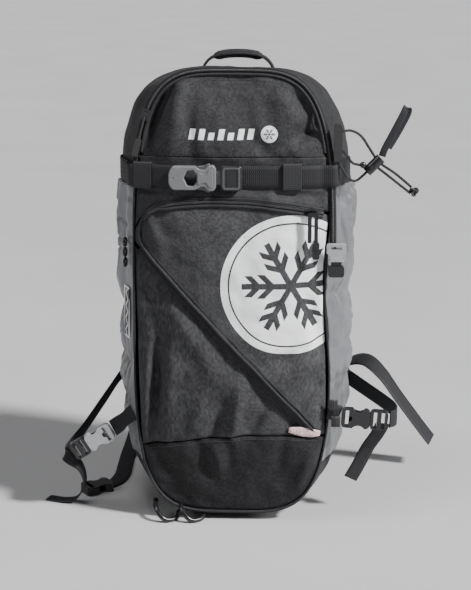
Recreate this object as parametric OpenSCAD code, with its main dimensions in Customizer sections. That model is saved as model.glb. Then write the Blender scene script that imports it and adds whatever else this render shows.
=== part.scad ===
// Ski touring backpack, about 22 litres, standing on its base.
// +Z is up, -Y is the front, +X is to the viewer's right. Units are millimetres.
// The origin is the centre of the flat base patch.

/* [Bag] */
// height of the front outline's crown above the floor
front_top = 526; // [440:1:600]
// height of the back outline's crown
back_top = 508; // [420:1:580]
// half the width of the front seam
front_half = 114; // [90:1:150]
// half the width of the back seam
back_half = 122; // [90:1:160]
// how far the sides swell beyond the seams
side_swell = 21; // [0:1:40]
// depth from the origin to the front seam at the floor
front_depth = 96; // [70:1:130]
// how far the front seam leans back at the crown
front_lean = 38; // [0:1:80]
// depth from the origin to the back panel
back_depth = 78; // [60:1:110]
// how far the front panel bulges in front of its seam
front_bulge = 25; // [5:1:45]
// how much the compression strap pinches that bulge
strap_pinch = 12; // [0:1:20]
// thickness of the lined fabric walls
wall = 2.4; // [1.5:0.1:4]

/* [Straps] */
// width of the compression webbing
web = 25; // [15:1:40]
// thickness of the webbing
web_t = 1.6; // [1:0.1:3]
// height of the front compression strap's centre line
strap_z = 409; // [380:1:430]
// width of the padded shoulder straps
shoulder_w = 62; // [45:1:80]
// thickness of the padded shoulder straps
shoulder_t = 11; // [6:0.5:18]
// height of the padded hip wings
wing_h = 88; // [60:1:120]

/* [Small parts] */
// diameter of the shock cord
cord_d = 3; // [2:0.5:5]
// length of the cord lock
lock_len = 22; // [16:1:30]

/* [Node] */
// which sub-part to build

/* [Hidden] */

$fn = 24;
squareness = 4;
panel_gap = 5;
hinge_z = 430;

// ---- shape of the bag ----

function mix(a, b, t) = a + (b - a) * t;
function crown(v) = mix(front_top, back_top, v) + 5 * sin(180 * v);
function sole(v) = mix(10, 7, v) - 3 * sin(180 * v);
function mid_z(v) = (crown(v) + sole(v)) / 2;
function half_h(v) = (crown(v) - sole(v)) / 2;
function half_w(v) = mix(front_half, back_half, v) + side_swell * sin(180 * v);
function seam_y(z) = front_lean * pow(max(z, 0) / front_top, 1.6) - front_depth;

// half width of the outline at one height and depth
function half_at(z, v = 0) =
    half_w(v) * pow(max(0, 1 - pow(abs(z - mid_z(v)) / half_h(v), squareness)), 1 / squareness);

// a point on the outline in the direction psi, pulled in by some millimetres
function rim(psi, v = 0, inset = 0) =
    let (k = pow(pow(abs(cos(psi)), squareness) + pow(abs(sin(psi)), squareness), -1 / squareness))
    let (z = mid_z(v) + (half_h(v) - inset) * sin(psi) * k)
    [(half_w(v) - inset) * cos(psi) * k, mix(seam_y(z), back_depth, v), z];

// how far out a front point is: 0 in the middle, 1 on the seam
function reach(x, z) =
    pow(pow(abs(x) / half_w(0), squareness) + pow(abs(z - mid_z(0)) / half_h(0), squareness),
        1 / squareness);
function bulge(z) = front_bulge - strap_pinch * exp(-pow((z - strap_z) / 34, 2));
function front_y(x, z) = seam_y(z) - bulge(z) * max(0, 1 - pow(reach(x, z), 3));

// lines across the front, left to right as s runs from -1 to 1
function edge_x(s, z) = s * (half_at(z) - panel_gap);
function pocket_top_z(s) = 381 - 12 * pow(abs(s), 2) - 26 * pow(max(0, -s), 9) - 3 * s;
function diagonal_z(s) = 215 - 115 * s;
function boot_z(s) = 109 - 10 * pow(s, 2) + 7 * s;
function on_front(s, z) = [edge_x(s, z), front_y(edge_x(s, z), z), z];

// ---- general makers ----

// closed solid between two equal grids of points
module between(a, b) {
    r = len(a);
    c = len(a[0]);
    m = r * c;
    pts = concat([for (row = a) each row], [for (row = b) each row]);
    skin = [for (i = [0 : r - 2], j = [0 : c - 2])
        [i * c + j, (i + 1) * c + j, (i + 1) * c + j + 1, i * c + j + 1]];
    loop = concat([for (j = [0 : c - 2]) j], [for (i = [0 : r - 2]) i * c + c - 1],
        [for (j = [c - 1 : -1 : 1]) (r - 1) * c + j], [for (i = [r - 1 : -1 : 1]) i * c]);
    faces = concat(
        [for (q = skin) each [[q[0], q[1], q[2]], [q[0], q[2], q[3]]]],
        [for (q = skin) each [[m + q[2], m + q[1], m + q[0]], [m + q[3], m + q[2], m + q[0]]]],
        [for (i = [0 : len(loop) - 1]) let (p = loop[i], q = loop[(i + 1) % len(loop)])
            each [[p, q, m + q], [p, m + q, m + p]]]);
    polyhedron(points = pts, faces = faces, convexity = 4);
}

// front panel between a lower and an upper line
module front_patch(low, high, nx, nz) {
    rows = [for (k = [0 : nz]) [for (i = [0 : nx]) let (p = mix(low[i], high[i], k / nz))
        [p[0], front_y(p[0], p[1]), p[1]]]];
    back = [for (row = rows) [for (p = row) p + [0, wall, 0]]];
    between(rows, back);
}

// wall around the bag between two outline directions and two depths
module wall_patch(psi_a, psi_b, n, v_a, v_b, m) {
    outer = [for (i = [0 : n]) [for (j = [0 : m]) rim(mix(psi_a, psi_b, i / n), mix(v_a, v_b, j / m))]];
    inner = [for (i = [0 : n]) [for (j = [0 : m])
        rim(mix(psi_a, psi_b, i / n), mix(v_a, v_b, j / m), wall)]];
    between(outer, inner);
}

// smooth line through hand-set points, n steps between neighbours
function smooth(p, n) = concat([for (i = [0 : len(p) - 2], k = [0 : n - 1])
    let (t = k / n, a = p[max(i - 1, 0)], b = p[i], c = p[i + 1], d = p[min(i + 2, len(p) - 1)])
    0.5 * (2 * b + (c - a) * t + (2 * a - 5 * b + 4 * c - d) * t * t
        + (3 * b - a - 3 * c + d) * t * t * t)], [p[len(p) - 1]]);
function unit(v) = v / norm(v);
function heading(p, i) = unit(p[min(i + 1, len(p) - 1)] - p[max(i - 1, 0)]);
function across(side, t) = unit(side - t * (side * t));

// flat band along a line: side gives the direction of its width, one vector or one per point
module band(path, side, w, t) {
    many = is_list(side[0]);
    rings = [for (i = [0 : len(path) - 1])
        let (h = heading(path, i), s = across(many ? side[i] : side, h), n = cross(h, s))
        [for (c = [[1, 1], [-1, 1], [-1, -1], [1, -1]])
            path[i] + s * (c[0] * w / 2) + n * (c[1] * t / 2)]];
    tube_mesh(rings);
}

// round cord along a line
module cord(path, d) {
    rings = [for (i = [0 : len(path) - 1])
        let (h = heading(path, i), s = across([0, 1, 0.01], h), n = cross(h, s))
        [for (k = [0 : 7]) path[i] + (s * cos(45 * k) + n * sin(45 * k)) * d / 2]];
    tube_mesh(rings);
}

module tube_mesh(rings) {
    c = len(rings[0]);
    r = len(rings);
    walls = [for (i = [0 : r - 2], j = [0 : c - 1]) let (k = (j + 1) % c)
        each [[i * c + j, (i + 1) * c + j, (i + 1) * c + k], [i * c + j, (i + 1) * c + k, i * c + k]]];
    ends = [[for (j = [0 : c - 1]) j], [for (j = [c - 1 : -1 : 0]) (r - 1) * c + j]];
    polyhedron(points = [for (g = rings) each g], faces = concat(walls, ends), convexity = 6);
}

// plate with rounded corners lying in X and Z, its front face at y = -t / 2
module plate(lx, lz, t, r) {
    rotate([90, 0, 0]) linear_extrude(t, center = true) {
        square([lx, lz - 2 * r], center = true);
        square([lx - 2 * r, lz], center = true);
        for (x = [-1, 1], z = [-1, 1]) translate([x * (lx / 2 - r), z * (lz / 2 - r)]) circle(r);
    }
}

// ---- side release buckles: pull direction +X, thickness along Y, width along Z ----

module buckle_female(w, len_f, t) {
    difference() {
        translate([len_f / 2, 0, 0]) plate(len_f, w + 5, t, 5);
        // socket
        translate([len_f - 11.8, 0, 0]) cube([25, t - 3.6, w + 0.2], center = true);
        // waists where the arms' buttons show
        for (z = [-1, 1]) translate([len_f - 13, 0, z * (w / 2 + 8)])
            rotate([90, 0, 0]) cylinder(r = 9, h = t + 2, center = true);
        // window in the front cheek
        translate([len_f - 24, -t / 2, 0]) rotate([90, 0, 0]) cylinder(r = 3.4, h = 4, center = true);
        // slot that leaves the webbing bar
        translate([6.5, 0, 0]) cube([4.4, t + 2, w + 1.5], center = true);
    }
}

module buckle_base(w, len_m, t) {
    difference() {
        translate([len_m / 2, 0, 0]) plate(len_m, w + 5, t, 4);
        for (k = [0, 1]) translate([len_m - 5.5 - 9 * k, 0, 0])
            cube([4.2, t + 2, w + 1.5], center = true);
    }
    // centre guide that slides into the socket
    translate([-9, 0, 0]) cube([18.4, t - 5, 4], center = true);
}

// one springy arm with its button, above or below the centre guide
module buckle_arm(w, t, up) {
    scale_up = up ? 1 : -1;
    rotate([90, 0, 0]) linear_extrude(t - 5, center = true)
        polygon([for (p = [[-0.6, w / 2 - 6], [-0.6, w / 2 - 1], [-8, w / 2 - 1], [-11, w / 2 - 0.6],
            [-17, w / 2 - 2.2], [-20, w / 2 - 5.5], [-20, w / 2 - 8], [-12, w / 2 - 5]])
            [p[0], p[1] * scale_up]]);
}

module buckle_male(w, len_m, t) {
    buckle_base(w, len_m, t);
    for (up = [true, false]) buckle_arm(w, t, up);
    for (z = [-1, 1]) translate([0, 0, z * (w / 2 - 3.5)]) cube([2.4, t - 5, 4.6], center = true);
}

// ---- bag shell ----

module base_panel() {
    color("#15161a") translate([0, 4, 0]) linear_extrude(4)
        polygon([for (a = [0 : 10 : 350]) [78 * cos(a) * pow(pow(cos(a), 4) + pow(sin(a), 4), -0.25),
            62 * sin(a) * pow(pow(cos(a), 4) + pow(sin(a), 4), -0.25)]]);
}

module bottom_panel() {
    color("#1b1c21") wall_patch(-139.4, -40.6, 22, 0.026, 0.985, 8);
}

module boot_panel() {
    n = 20;
    low = [for (i = [0 : n]) let (p = rim(mix(-138, -42, i / n), 0, panel_gap)) [p[0], p[2]]];
    high = [for (i = [0 : n]) let (s = mix(-1, 1, i / n)) [edge_x(s, boot_z(s)), boot_z(s) - 2.5]];
    color("#17181c") front_patch(low, high, n, 6);
}

module lower_left_panel() {
    n = 14;
    low = [for (i = [0 : n]) let (s = mix(-1, 0.93, i / n)) [edge_x(s, boot_z(s)), boot_z(s) + 2.5]];
    high = [for (i = [0 : n]) let (s = mix(-1, 0.93, i / n), z = max(diagonal_z(s) - 2.5, boot_z(s) + 6))
        [edge_x(s, z), z]];
    color("#1d1e22") front_patch(low, high, n, 10);
}

module pocket_panel() {
    n = 16;
    low = [for (i = [0 : n]) let (s = mix(-1, 1, i / n), z = max(diagonal_z(s), boot_z(s)) + 2.5)
        [edge_x(s, z), z]];
    high = [for (i = [0 : n]) let (s = mix(-1, 1, i / n))
        [edge_x(s, pocket_top_z(s)), pocket_top_z(s) - 2.5]];
    color("#24252a") front_patch(low, high, n, 12);
}

module front_band() {
    n = 16;
    low = [for (i = [0 : n]) let (s = mix(-1, 1, i / n))
        [edge_x(s, pocket_top_z(s)), pocket_top_z(s) + 2.5]];
    high = [for (i = [0 : n]) let (s = mix(-1, 1, i / n)) [edge_x(s, 427), 427]];
    color("#222328") front_patch(low, high, n, 4);
}

module side_panel() {
    wall_patch(-40, 33.6, 14, 0.026, 0.985, 10);
}

module left_side_panel() {
    color("#6d7078") mirror([1, 0, 0]) side_panel();
}

module right_side_panel() {
    color("#85888f") side_panel();
}

module top_gusset() {
    color("#26272c") wall_patch(34.2, 145.8, 24, 0.026, 0.985, 8);
}

module back_panel() {
    color("#1a1b1f") translate([0, back_depth, 0]) rotate([90, 0, 0]) linear_extrude(wall, center = true)
        polygon([for (a = [0 : 7.5 : 352.5]) let (p = rim(a, 1, 3.2)) [p[0], p[2]]]);
}

module inner_divider() {
    color("#3b3e44") translate([0, 50, 235]) plate(190, 400, 1.6, 20);
}

module water_sleeve() {
    color("#4a4d54") translate([0, 57, 215]) plate(176, 300, 1.6, 16);
}

module frame_sheet() {
    color("#d8d8d4") translate([0, 73.5, 250]) plate(196, 410, 2, 30);
}

module frame_stays() {
    color("#b9bcc2") for (x = [-1, 1]) translate([x * 52, 69.8, 250]) plate(20, 390, 3, 4);
}

module back_pads() {
    color("#202126") for (x = [-1, 1]) translate([x * 52, 85, 285]) plate(78, 250, 10, 22);
}

module lumbar_pad() {
    color("#202126") translate([0, 86, 110]) plate(170, 78, 12, 24);
}

// ---- zips, welts, labels ----

// zip and tape just outside the edge of the top flap
module dome_zip() {
    path = [for (a = [14 : 4.32 : 147]) let (p = rim(a, 0, 0.2)) p - [0, 2.6, 0]];
    side = [for (a = [14 : 4.32 : 147]) let (p = rim(a, 0, 10), q = rim(a, 0, 0))
        [q[0] - p[0], 0, q[2] - p[2]]];
    color("#0e0f11") band(path, side, 7, 1.8);
}

function line_on_front(n, lift, level) = [for (i = [0 : n])
    let (s = mix(-0.97, 0.97, i / n), z = level(s), p = on_front(s, z)) p - [0, lift, 0]];

module pocket_zip() {
    color("#101114") band(line_on_front(22, 2.6, function (s) pocket_top_z(s)), [0, 0, 1], 8, 1.8);
}

module diagonal_welt() {
    color("#0f1012") for (k = [-1, 1]) band([for (i = [0 : 18])
        let (s = mix(-0.97, 0.9, i / 18),
            p = on_front(s, max(diagonal_z(s) + k * 3.4, boot_z(s) + 4 + 3.4 * k)))
        p - [0, 2.2, 0]], [0.7, 0, 0.7], 3.4, 2);
}

module zip_garage_tape() {
    path = [for (i = [0 : 4]) let (x = 66 + 9 * i, z = 122 - 1.5 * i) [x, front_y(x, z) - 4.6, z]];
    color("#d9b9bd") band(path, [0, 0, 1], 12, 1.2);
}

module base_piping() {
    path = [for (a = [-176 : 4.3 : -4]) rim(a, 0, 0) - [0, 2.2, 0]];
    color("#0c0d0f") cord(path, 3.4);
}

module label_patch() {
    rows = [for (k = [0 : 6]) [for (j = [0 : 3]) let (z = 216 + 10 * k, v = 0.165 - 0.035 * j)
        [-half_at(z, v) - 0.6, mix(seam_y(z), back_depth, v), z]]];
    outer = [for (row = rows) [for (p = row) p - [1.2, 0, 0]]];
    color("#c9cacc") between(outer, rows);
}

// ---- front compression strap ----

// depth of the strap's centre line where it crosses the front
function strap_y(x) = min(front_y(x, strap_z - 14) - 1.4, seam_y(strap_z) - 5.6 - 0.04 * (108 - abs(x)));
function strap_run(x_a, x_b, n) = [for (i = [0 : n]) let (x = mix(x_a, x_b, i / n))
    [x, strap_y(x), strap_z]];
strap_round = concat([[115.5, seam_y(strap_z) - 6, strap_z], [121, seam_y(strap_z) + 2.5, strap_z]],
    [for (v = [0.12 : 0.08 : 0.44])
        [half_at(strap_z, v) + 2.2, mix(seam_y(strap_z), back_depth, v), strap_z]]);

module front_strap_right() {
    color("#121316") band(concat(strap_run(6, 107, 10), strap_round), [0, 0, 1], web, web_t);
}

module front_strap_left() {
    color("#121316") mirror([1, 0, 0])
        band(concat(strap_run(66, 107, 4), strap_round), [0, 0, 1], web, web_t);
}

// elastic keepers around the strap and its folded tail
module strap_keepers() {
    color("#2a2b30") for (x = [-102, 67]) {
        turn = atan((strap_y(x + 9) - strap_y(x - 9)) / 18);
        translate([x, strap_y(x) - 0.6, strap_z]) rotate([0, 0, turn]) difference() {
            cube([20, 5.2, web + 5], center = true);
            cube([30, 3.6, web + 2.4], center = true);
        }
    }
}

// front buckle: its socket half is on the left
buckle_y = front_y(0, strap_z - 14) - 7.8;
module front_buckle_female() {
    color("#a9adb4") translate([-72, buckle_y, strap_z]) difference() {
        buckle_female(web, 42, 10.5);
        translate([2.2, 0, 0]) rotate([90, 0, 0]) cylinder(r = 1.2, h = 20, center = true);
    }
}

module front_buckle_male() {
    color("#17181b") translate([-29.4, buckle_y, strap_z]) buckle_base(web, 39, 10.5);
}

// springy arms of the front buckle's plug
module buckle_arm_upper() {
    color("#b4b8be") translate([-30.2, buckle_y, strap_z]) buckle_arm(web, 10.5, true);
}

module buckle_arm_lower() {
    color("#b4b8be") translate([-30.2, buckle_y, strap_z]) buckle_arm(web, 10.5, false);
}

// ---- loops ----

module ski_loops() {
    color("#101114") for (x = [-92, -62]) {
        band(smooth([[x, -86, 20], [x + 2, -101, 15], [x + 8, -108, 8], [x + 16, -108, 3], [x + 26, -100, 3],
            [x + 28, -90, 7]], 3), [0.2, 0, 1], 5, 3);
    }
}

module daisy_loops() {
    color("#121316") for (z = [330, 318, 306]) translate([-half_at(z, 0.1) - 3.2, -70, z])
        rotate([0, 90, -12]) rotate_extrude() translate([4.5, 0]) circle(1.4);
}

// ---- cord and lock ----

wrap_x = 118.5;
lock_at = [159, -70, 421];
upper_route = [[118, -70, 458], [124, -70, 459], [133, -71, 460], [144, -71, 454], [153, -70, 441],
    [161, -70, 429], [169, -70, 421], [184, -70, 411], [202, -70, 396]];
lower_route = [[118, -70, 429], [119, -72, 424], [123, -75, 418], [127, -75, 411], [132, -73, 405],
    [139, -71, 403], [146, -70, 408], [152, -70, 414]];
tail_route = [[162, -70, 419], [174, -70, 410], [188, -70, 399], [201, -70, 389]];
stub_route = [[118, -70, 438], [124, -71, 437], [130, -74, 430], [135, -76, 424], [143, -76, 422]];

module cord_wrap() {
    color("#0f1012") translate([wrap_x, -70, 446]) difference() {
        plate(9, 42, 10, 3);
        for (z = [-8, 12]) translate([4, 0, z]) rotate([0, 90, 0])
            cylinder(d = cord_d + 2.4, h = 9, center = true);
        translate([0, 0, -21]) cylinder(d = cord_d + 3.4, h = 9, center = true);
    }
}

module shock_cord_upper() {
    color("#1b1c20") cord(smooth(upper_route, 4), cord_d);
}

module shock_cord_lower() {
    color("#1b1c20") cord(smooth(lower_route, 4), cord_d);
}

module shock_cord_tail() {
    color("#1b1c20") cord(smooth(tail_route, 4), cord_d);
}

module shock_cord_stub() {
    color("#1b1c20") cord(smooth(stub_route, 4), cord_d);
}

module cord_knob() {
    color("#141518") translate([146.4, -76, 422]) sphere(r = 3.6);
}

module tail_knot() {
    color("#121316") translate([205.5, -70, 391]) {
        rotate([0, 50, 0]) cylinder(r = 4.2, h = 7, center = true);
        translate([0, 0, -1]) sphere(r = 4.6);
        rotate([0, 75, 0]) cylinder(r = 1.5, h = 14);
    }
}

module cord_lock() {
    color("#16171a") translate(lock_at) difference() {
        rotate([0, 45, 0]) cylinder(d = 12, h = lock_len, center = true);
        // through hole for the upper strand, blind seats for the other two
        translate([5, 0, 5]) rotate([0, 135, 0]) cylinder(d = cord_d + 1.6, h = 30, center = true);
        rotate([0, 45, 0]) translate([0, 0, -lock_len / 2 - 1]) cylinder(d = cord_d + 1.6, h = 6);
        translate([7, 0, -5]) rotate([0, 127, 0]) cylinder(d = cord_d + 1.6, h = 12, center = true);
        // pocket for the button
        translate([-2, -5, -2]) rotate([90, 0, 0]) cylinder(d = 6.6, h = 5, center = true);
    }
}

module lock_button() {
    color("#2b2c30") translate(lock_at + [-2, -5.4, -2]) rotate([90, 0, 0])
        cylinder(d = 6, h = 3.6, center = true);
}

module lock_tape() {
    path = smooth([[168, -70, 431], [171, -71, 440], [180, -72, 458], [190, -72, 478], [194, -70, 486],
        [196, -67, 480], [186, -66, 459], [175, -67, 440]], 3);
    color("#17181b") band(path, [1, 0, -0.4], 8, 1);
}

// ---- clip on the right seam ----

module side_clip_female() {
    color("#b8bbc0") translate([118, -91, 320]) rotate([0, 90, 0]) difference() {
        translate([-4, 0, 0]) plate(20, 22, 8, 3);
        translate([2, 0, 0]) cube([15, 4.6, 14], center = true);
        for (z = [-1, 1]) translate([2, 0, 13 * z]) rotate([90, 0, 0])
            cylinder(r = 6, h = 12, center = true);
        translate([-10, 0, 0]) cube([3.4, 12, 12], center = true);
    }
}

module side_clip_male() {
    color("#141519") translate([118, -91, 309.4]) {
        translate([0, 0, -7]) plate(18, 13, 7, 3);
        translate([0, 0, 4]) cube([12, 3.8, 10], center = true);
    }
}

// ---- side compression straps ----

left_front = [[-117, -84, 128], [-124, -82, 122], [-132, -80, 114], [-142, -78, 106]];
left_rear = [[-136, 52, 142], [-146, 30, 136], [-158, 0, 122], [-182, -42, 92], [-200, -66, 72],
    [-196, -72, 66], [-184, -64, 52], [-180, -58, 30], [-190, -52, 8], [-206, -48, 2.2], [-228, -40, 1.6]];

module left_strap() {
    color("#1a1b1f") {
        band(left_front, [0.55, 0, 0.8], 20, web_t);
        band(smooth(left_rear, 4), [for (i = [0 : 40]) i < 22 ? [0.2, 0.1, 0.9] :
            mix([0.2, 0.1, 0.9], [0.1, 1, 0], min(1, (i - 22) / 8))], 15, web_t);
    }
}

module left_buckle_place() {
    translate([-142, -79, 105]) rotate([0, -31.5, 0]) rotate([0, 180, 0]) children();
}

module left_buckle_female() {
    color("#b4b7bc") left_buckle_place() translate([2, 0, 0]) buckle_female(17, 33, 9);
}

module left_buckle_male() {
    color("#17181b") left_buckle_place() translate([35.6, 0, 0]) buckle_male(17, 20, 9);
}

right_front = [[112, -98, 138], [118, -97, 136], [125, -95, 133]];
right_rear = [[184, -86, 124], [192, -70, 122], [192, -40, 120], [180, -5, 120], [160, 30, 124],
    [138, 56, 132]];
right_tail = [[176, -78, 116], [170, -70, 100], [160, -60, 80], [150, -58, 58], [140, -60, 40]];

module right_strap() {
    color("#1a1b1f") {
        band(right_front, [0, 0, 1], 20, web_t);
        band(smooth(right_rear, 4), [0, 0, 1], 20, web_t);
        band(smooth(right_tail, 4), [0.85, 0.3, -0.3], 18, web_t);
        // two ribbed keepers
        for (k = [0, 1]) translate([117 + 3 * k, -101.4, 146 - 20 * k]) plate(9, 12, 2, 1.5);
    }
}

module right_buckle_place() {
    translate([127, -93, 129]) rotate([0, 4, 0]) children();
}

module right_buckle_female() {
    color("#111216") right_buckle_place() buckle_female(18, 33, 9);
}

module right_buckle_male() {
    color("#111216") right_buckle_place() translate([33.6, 0, 0]) buckle_male(18, 20, 9);
}

// ---- opening top flap ----

module dome_panel() {
    n = 24;
    start = 34.6;
    high = [for (i = [0 : n]) let (p = rim(mix(180 - start, start, i / n), 0, panel_gap)) [p[0], p[2]]];
    low = [for (i = [0 : n]) [mix(high[0][0], high[n][0], i / n), hinge_z + 4]];
    top = [for (i = [0 : n]) [high[i][0], max(high[i][1], hinge_z + 6)]];
    color("#25262b") front_patch(low, top, n, 8);
}

module dome_slider() {
    p = rim(137, 0, 0.2);
    color("#9a9ea5") translate([p[0], p[1] - 7, p[2]]) rotate([0, 20, 0]) {
        plate(9, 13, 2, 2);
        translate([0, -2.2, 0]) plate(4, 7, 2.6, 0.8);
    }
}

module dome_pull() {
    p = rim(137, 0, 0.2);
    color("#c4c7cc") translate([p[0], p[1] - 12.6, p[2]]) rotate([0, 15, 0]) {
        translate([0, 0, -16]) cylinder(d = 2.6, h = 30, center = true);
        translate([0, 0, -38]) plate(7, 20, 3.6, 2);
    }
}

zip_end = on_front(0.84, pocket_top_z(0.84));
module pocket_slider() {
    color("#b9bcc2") translate(zip_end - [0, 7.4, 0]) rotate([0, 0, 12]) {
        plate(13, 9, 2, 2);
        translate([0, -2.2, 0]) plate(7, 4, 2.6, 0.8);
    }
}

module pocket_pull() {
    color("#c6c8cc") translate(zip_end - [0, 14.2, 0]) rotate([-4, 0, 0]) {
        for (x = [-1, 1]) translate([3.6 * x, 0, -17]) plate(4.4, 32, 2, 1);
        translate([0, 0, -1]) plate(12, 4, 2, 1);
        translate([3.6, 0, -42]) plate(8, 19, 4, 2);
    }
}

// ---- harness ----

module grab_handle() {
    color("#17181b") band(smooth([[-44, 84, 506], [-41, 84, 517], [-31, 84, 527], [-12, 84, 531], [12, 84, 531],
        [31, 84, 527], [41, 84, 517], [44, 84, 506]], 4), [0, 1, 0], 9, 3.4);
}

shoulder_path = [[42, 98, 462], [50, 108, 440], [62, 112, 390], [74, 110, 320], [80, 106, 260],
    [82, 104, 218]];
module shoulder() {
    band(smooth(shoulder_path, 4), [1, 0, 0.1], shoulder_w, shoulder_t);
    // strap adjuster and its webbing down to the side seam
    translate([82, 104, 204]) plate(34, 18, 6, 2);
    band([[82, 104, 194], [94, 100, 177], [108, 94, 160]], [1, 0, 0.7], web - 5, web_t);
}

module shoulder_left() {
    color("#1b1c20") mirror([1, 0, 0]) shoulder();
}

module shoulder_right() {
    color("#1b1c20") shoulder();
}

module sternum_strap() {
    color("#17181b") {
        translate([0, 121, 352]) plate(150, 20, web_t, 2);
        translate([0, 125.5, 352]) plate(52, 27, 6, 4);
        for (x = [-1, 1]) translate([72 * x, 121, 352]) plate(12, 28, 4, 2);
    }
}

wing_path = [[88, 100, 108], [104, 112, 108], [118, 126, 106], [126, 142, 104]];
module hip_wing() {
    band(smooth(wing_path, 3), [0, 0, 1], wing_h, 12);
}

hip_left_run = [[-130, 157, 100], [-132, 156, 60], [-140, 140, 20], [-146, 110, 3], [-146, 70, 2],
    [-146, 40, 2], [-152, 14, 2], [-169, -7, 2]];
hip_right_run = [[131, 155, 106], [146, 148, 124], [166, 128, 131], [186, 110, 118], [206, 101, 92],
    [236, 97, 52], [250, 96, 34]];

module hip_wing_left() {
    color("#1c1d21") {
        mirror([1, 0, 0]) hip_wing();
        band(smooth(hip_left_run, 4), [for (i = [0 : 28]) mix([0.45, -0.89, 0], [1, 0, 0], min(1, i / 12))],
            20, web_t);
        translate([-190, -22, 6]) rotate([0, 0, 32]) rotate([90, 0, 0]) plate(32, 28, 9, 3);
    }
}

module hip_wing_right() {
    color("#1c1d21") {
        hip_wing();
        band(smooth(hip_right_run, 4), [0.3, 0.9, 0.3], 25, web_t);
    }
}

base_panel();
bottom_panel();
boot_panel();
lower_left_panel();
pocket_panel();
front_band();
left_side_panel();
right_side_panel();
top_gusset();
back_panel();
inner_divider();
water_sleeve();
frame_sheet();
frame_stays();
back_pads();
lumbar_pad();
dome_zip();
pocket_zip();
diagonal_welt();
zip_garage_tape();
base_piping();
front_strap_left();
front_strap_right();
strap_keepers();
front_buckle_female();
front_buckle_male();
buckle_arm_upper();
buckle_arm_lower();
ski_loops();
daisy_loops();
label_patch();
cord_wrap();
cord_knob();
shock_cord_upper();
shock_cord_lower();
shock_cord_tail();
shock_cord_stub();
tail_knot();
cord_lock();
lock_button();
lock_tape();
side_clip_female();
side_clip_male();
left_strap();
left_buckle_female();
left_buckle_male();
right_strap();
right_buckle_female();
right_buckle_male();
dome_panel();
dome_slider();
dome_pull();
pocket_slider();
pocket_pull();
grab_handle();
shoulder_left();
shoulder_right();
sternum_strap();
hip_wing_left();
hip_wing_right();
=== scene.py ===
"""Looks of the ski backpack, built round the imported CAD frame. +Z up, -Y front, lengths in millimetres
until a mesh is made, then metres."""
import math
import bpy
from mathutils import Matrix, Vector, noise


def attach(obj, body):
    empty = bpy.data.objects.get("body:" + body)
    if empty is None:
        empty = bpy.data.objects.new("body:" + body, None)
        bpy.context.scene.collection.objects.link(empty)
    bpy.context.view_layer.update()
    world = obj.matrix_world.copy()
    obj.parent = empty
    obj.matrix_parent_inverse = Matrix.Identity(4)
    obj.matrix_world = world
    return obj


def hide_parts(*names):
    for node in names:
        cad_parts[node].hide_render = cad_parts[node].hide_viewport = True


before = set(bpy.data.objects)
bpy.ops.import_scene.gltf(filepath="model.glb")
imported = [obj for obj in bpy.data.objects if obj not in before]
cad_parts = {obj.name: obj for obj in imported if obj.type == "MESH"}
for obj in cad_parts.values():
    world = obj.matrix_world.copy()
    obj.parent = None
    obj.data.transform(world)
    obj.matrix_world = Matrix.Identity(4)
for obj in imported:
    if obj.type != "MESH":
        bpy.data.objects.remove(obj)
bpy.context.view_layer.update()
MM = 0.001
TURN = 2 * math.pi
SIDES = ((-1, "left"), (1, "right"))

# ---- camera and light

CAMERA_PLACE = Vector((0.070, -1.750, 0.700))
CAMERA_TARGET = Vector((0.0, 0.0, 0.250))


def link_new(name, data):
    """new object of the scene that shows the data"""
    made = bpy.data.objects.new(name, data)
    bpy.context.collection.objects.link(made)
    return made


def point_along(thing, direction):
    thing.rotation_euler = Vector(direction).to_track_quat("-Z", "Y").to_euler()


def make_camera():
    data = bpy.data.cameras.new("camera")
    data.sensor_fit = "VERTICAL"
    data.sensor_height = 36
    data.lens = 91.5
    camera = link_new("camera", data)
    camera.location = CAMERA_PLACE
    point_along(camera, CAMERA_TARGET - CAMERA_PLACE)
    bpy.context.scene.camera = camera


def area_light(name, place, target, size, watts):
    data = bpy.data.lights.new(name, "AREA")
    data.shape = "DISK"
    data.size = size
    data.energy = watts
    light = link_new(name, data)
    light.location = place
    point_along(light, Vector(target) - Vector(place))


def sun_light(name, direction, strength, spread):
    """even light from far away; spread in degrees softens its shadows"""
    data = bpy.data.lights.new(name, "SUN")
    data.energy = strength
    data.angle = math.radians(spread)
    point_along(link_new(name, data), direction)


def make_lights():
    sun_light("key", (-0.95, 0.42, -0.95), 6.2, 7)
    sun_light("left_fill", (0.9, 0.35, -0.8), 0.4, 20)
    area_light("right_card", (1.3, -0.5, 0.6), (0.12, 0, 0.28), 0.4, 8)
    area_light("top_card", (-0.35, -0.25, 1.5), (0, -0.05, 0.45), 0.5, 5)
    world = bpy.data.worlds.new("studio")
    world.use_nodes = True
    sky = world.node_tree.nodes["Background"].inputs
    sky["Color"].default_value = (0.95, 0.96, 1.0, 1)
    sky["Strength"].default_value = 0.14
    bpy.context.scene.world = world


make_camera()
make_lights()

# ---- shape of the bag, as in part.scad

FRONT_TOP, BACK_TOP = 526, 508
FRONT_HALF, BACK_HALF = 114, 122
SIDE_SWELL = 21
FRONT_DEPTH, FRONT_LEAN, BACK_DEPTH = 96, 38, 78
FRONT_BULGE, STRAP_PINCH, STRAP_Z = 25, 12, 409
# power of the outline's rounded rectangle; margins beside the zips and beside the front's panels
SQUARENESS = 4
GAP, EDGE = 5, 1.6
HINGE_Z = 430
# depth of the wall round the bag, and about how far one degree of the outline goes round it
WALL_DEEP, MM_PER_DEGREE = 172, 4.2


def mix(a, b, t):
    return a + (b - a) * t


def clamp(t, low=0.0, high=1.0):
    return max(low, min(high, t))


def hump(a, width, power=2):
    """1 at 0, dropping smoothly to nothing beyond the width"""
    return math.exp(-(a / width) ** power)


def crown(v):
    return mix(FRONT_TOP, BACK_TOP, v) + 5 * math.sin(math.pi * v)


def sole(v):
    return mix(10, 7, v) - 3 * math.sin(math.pi * v)


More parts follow.
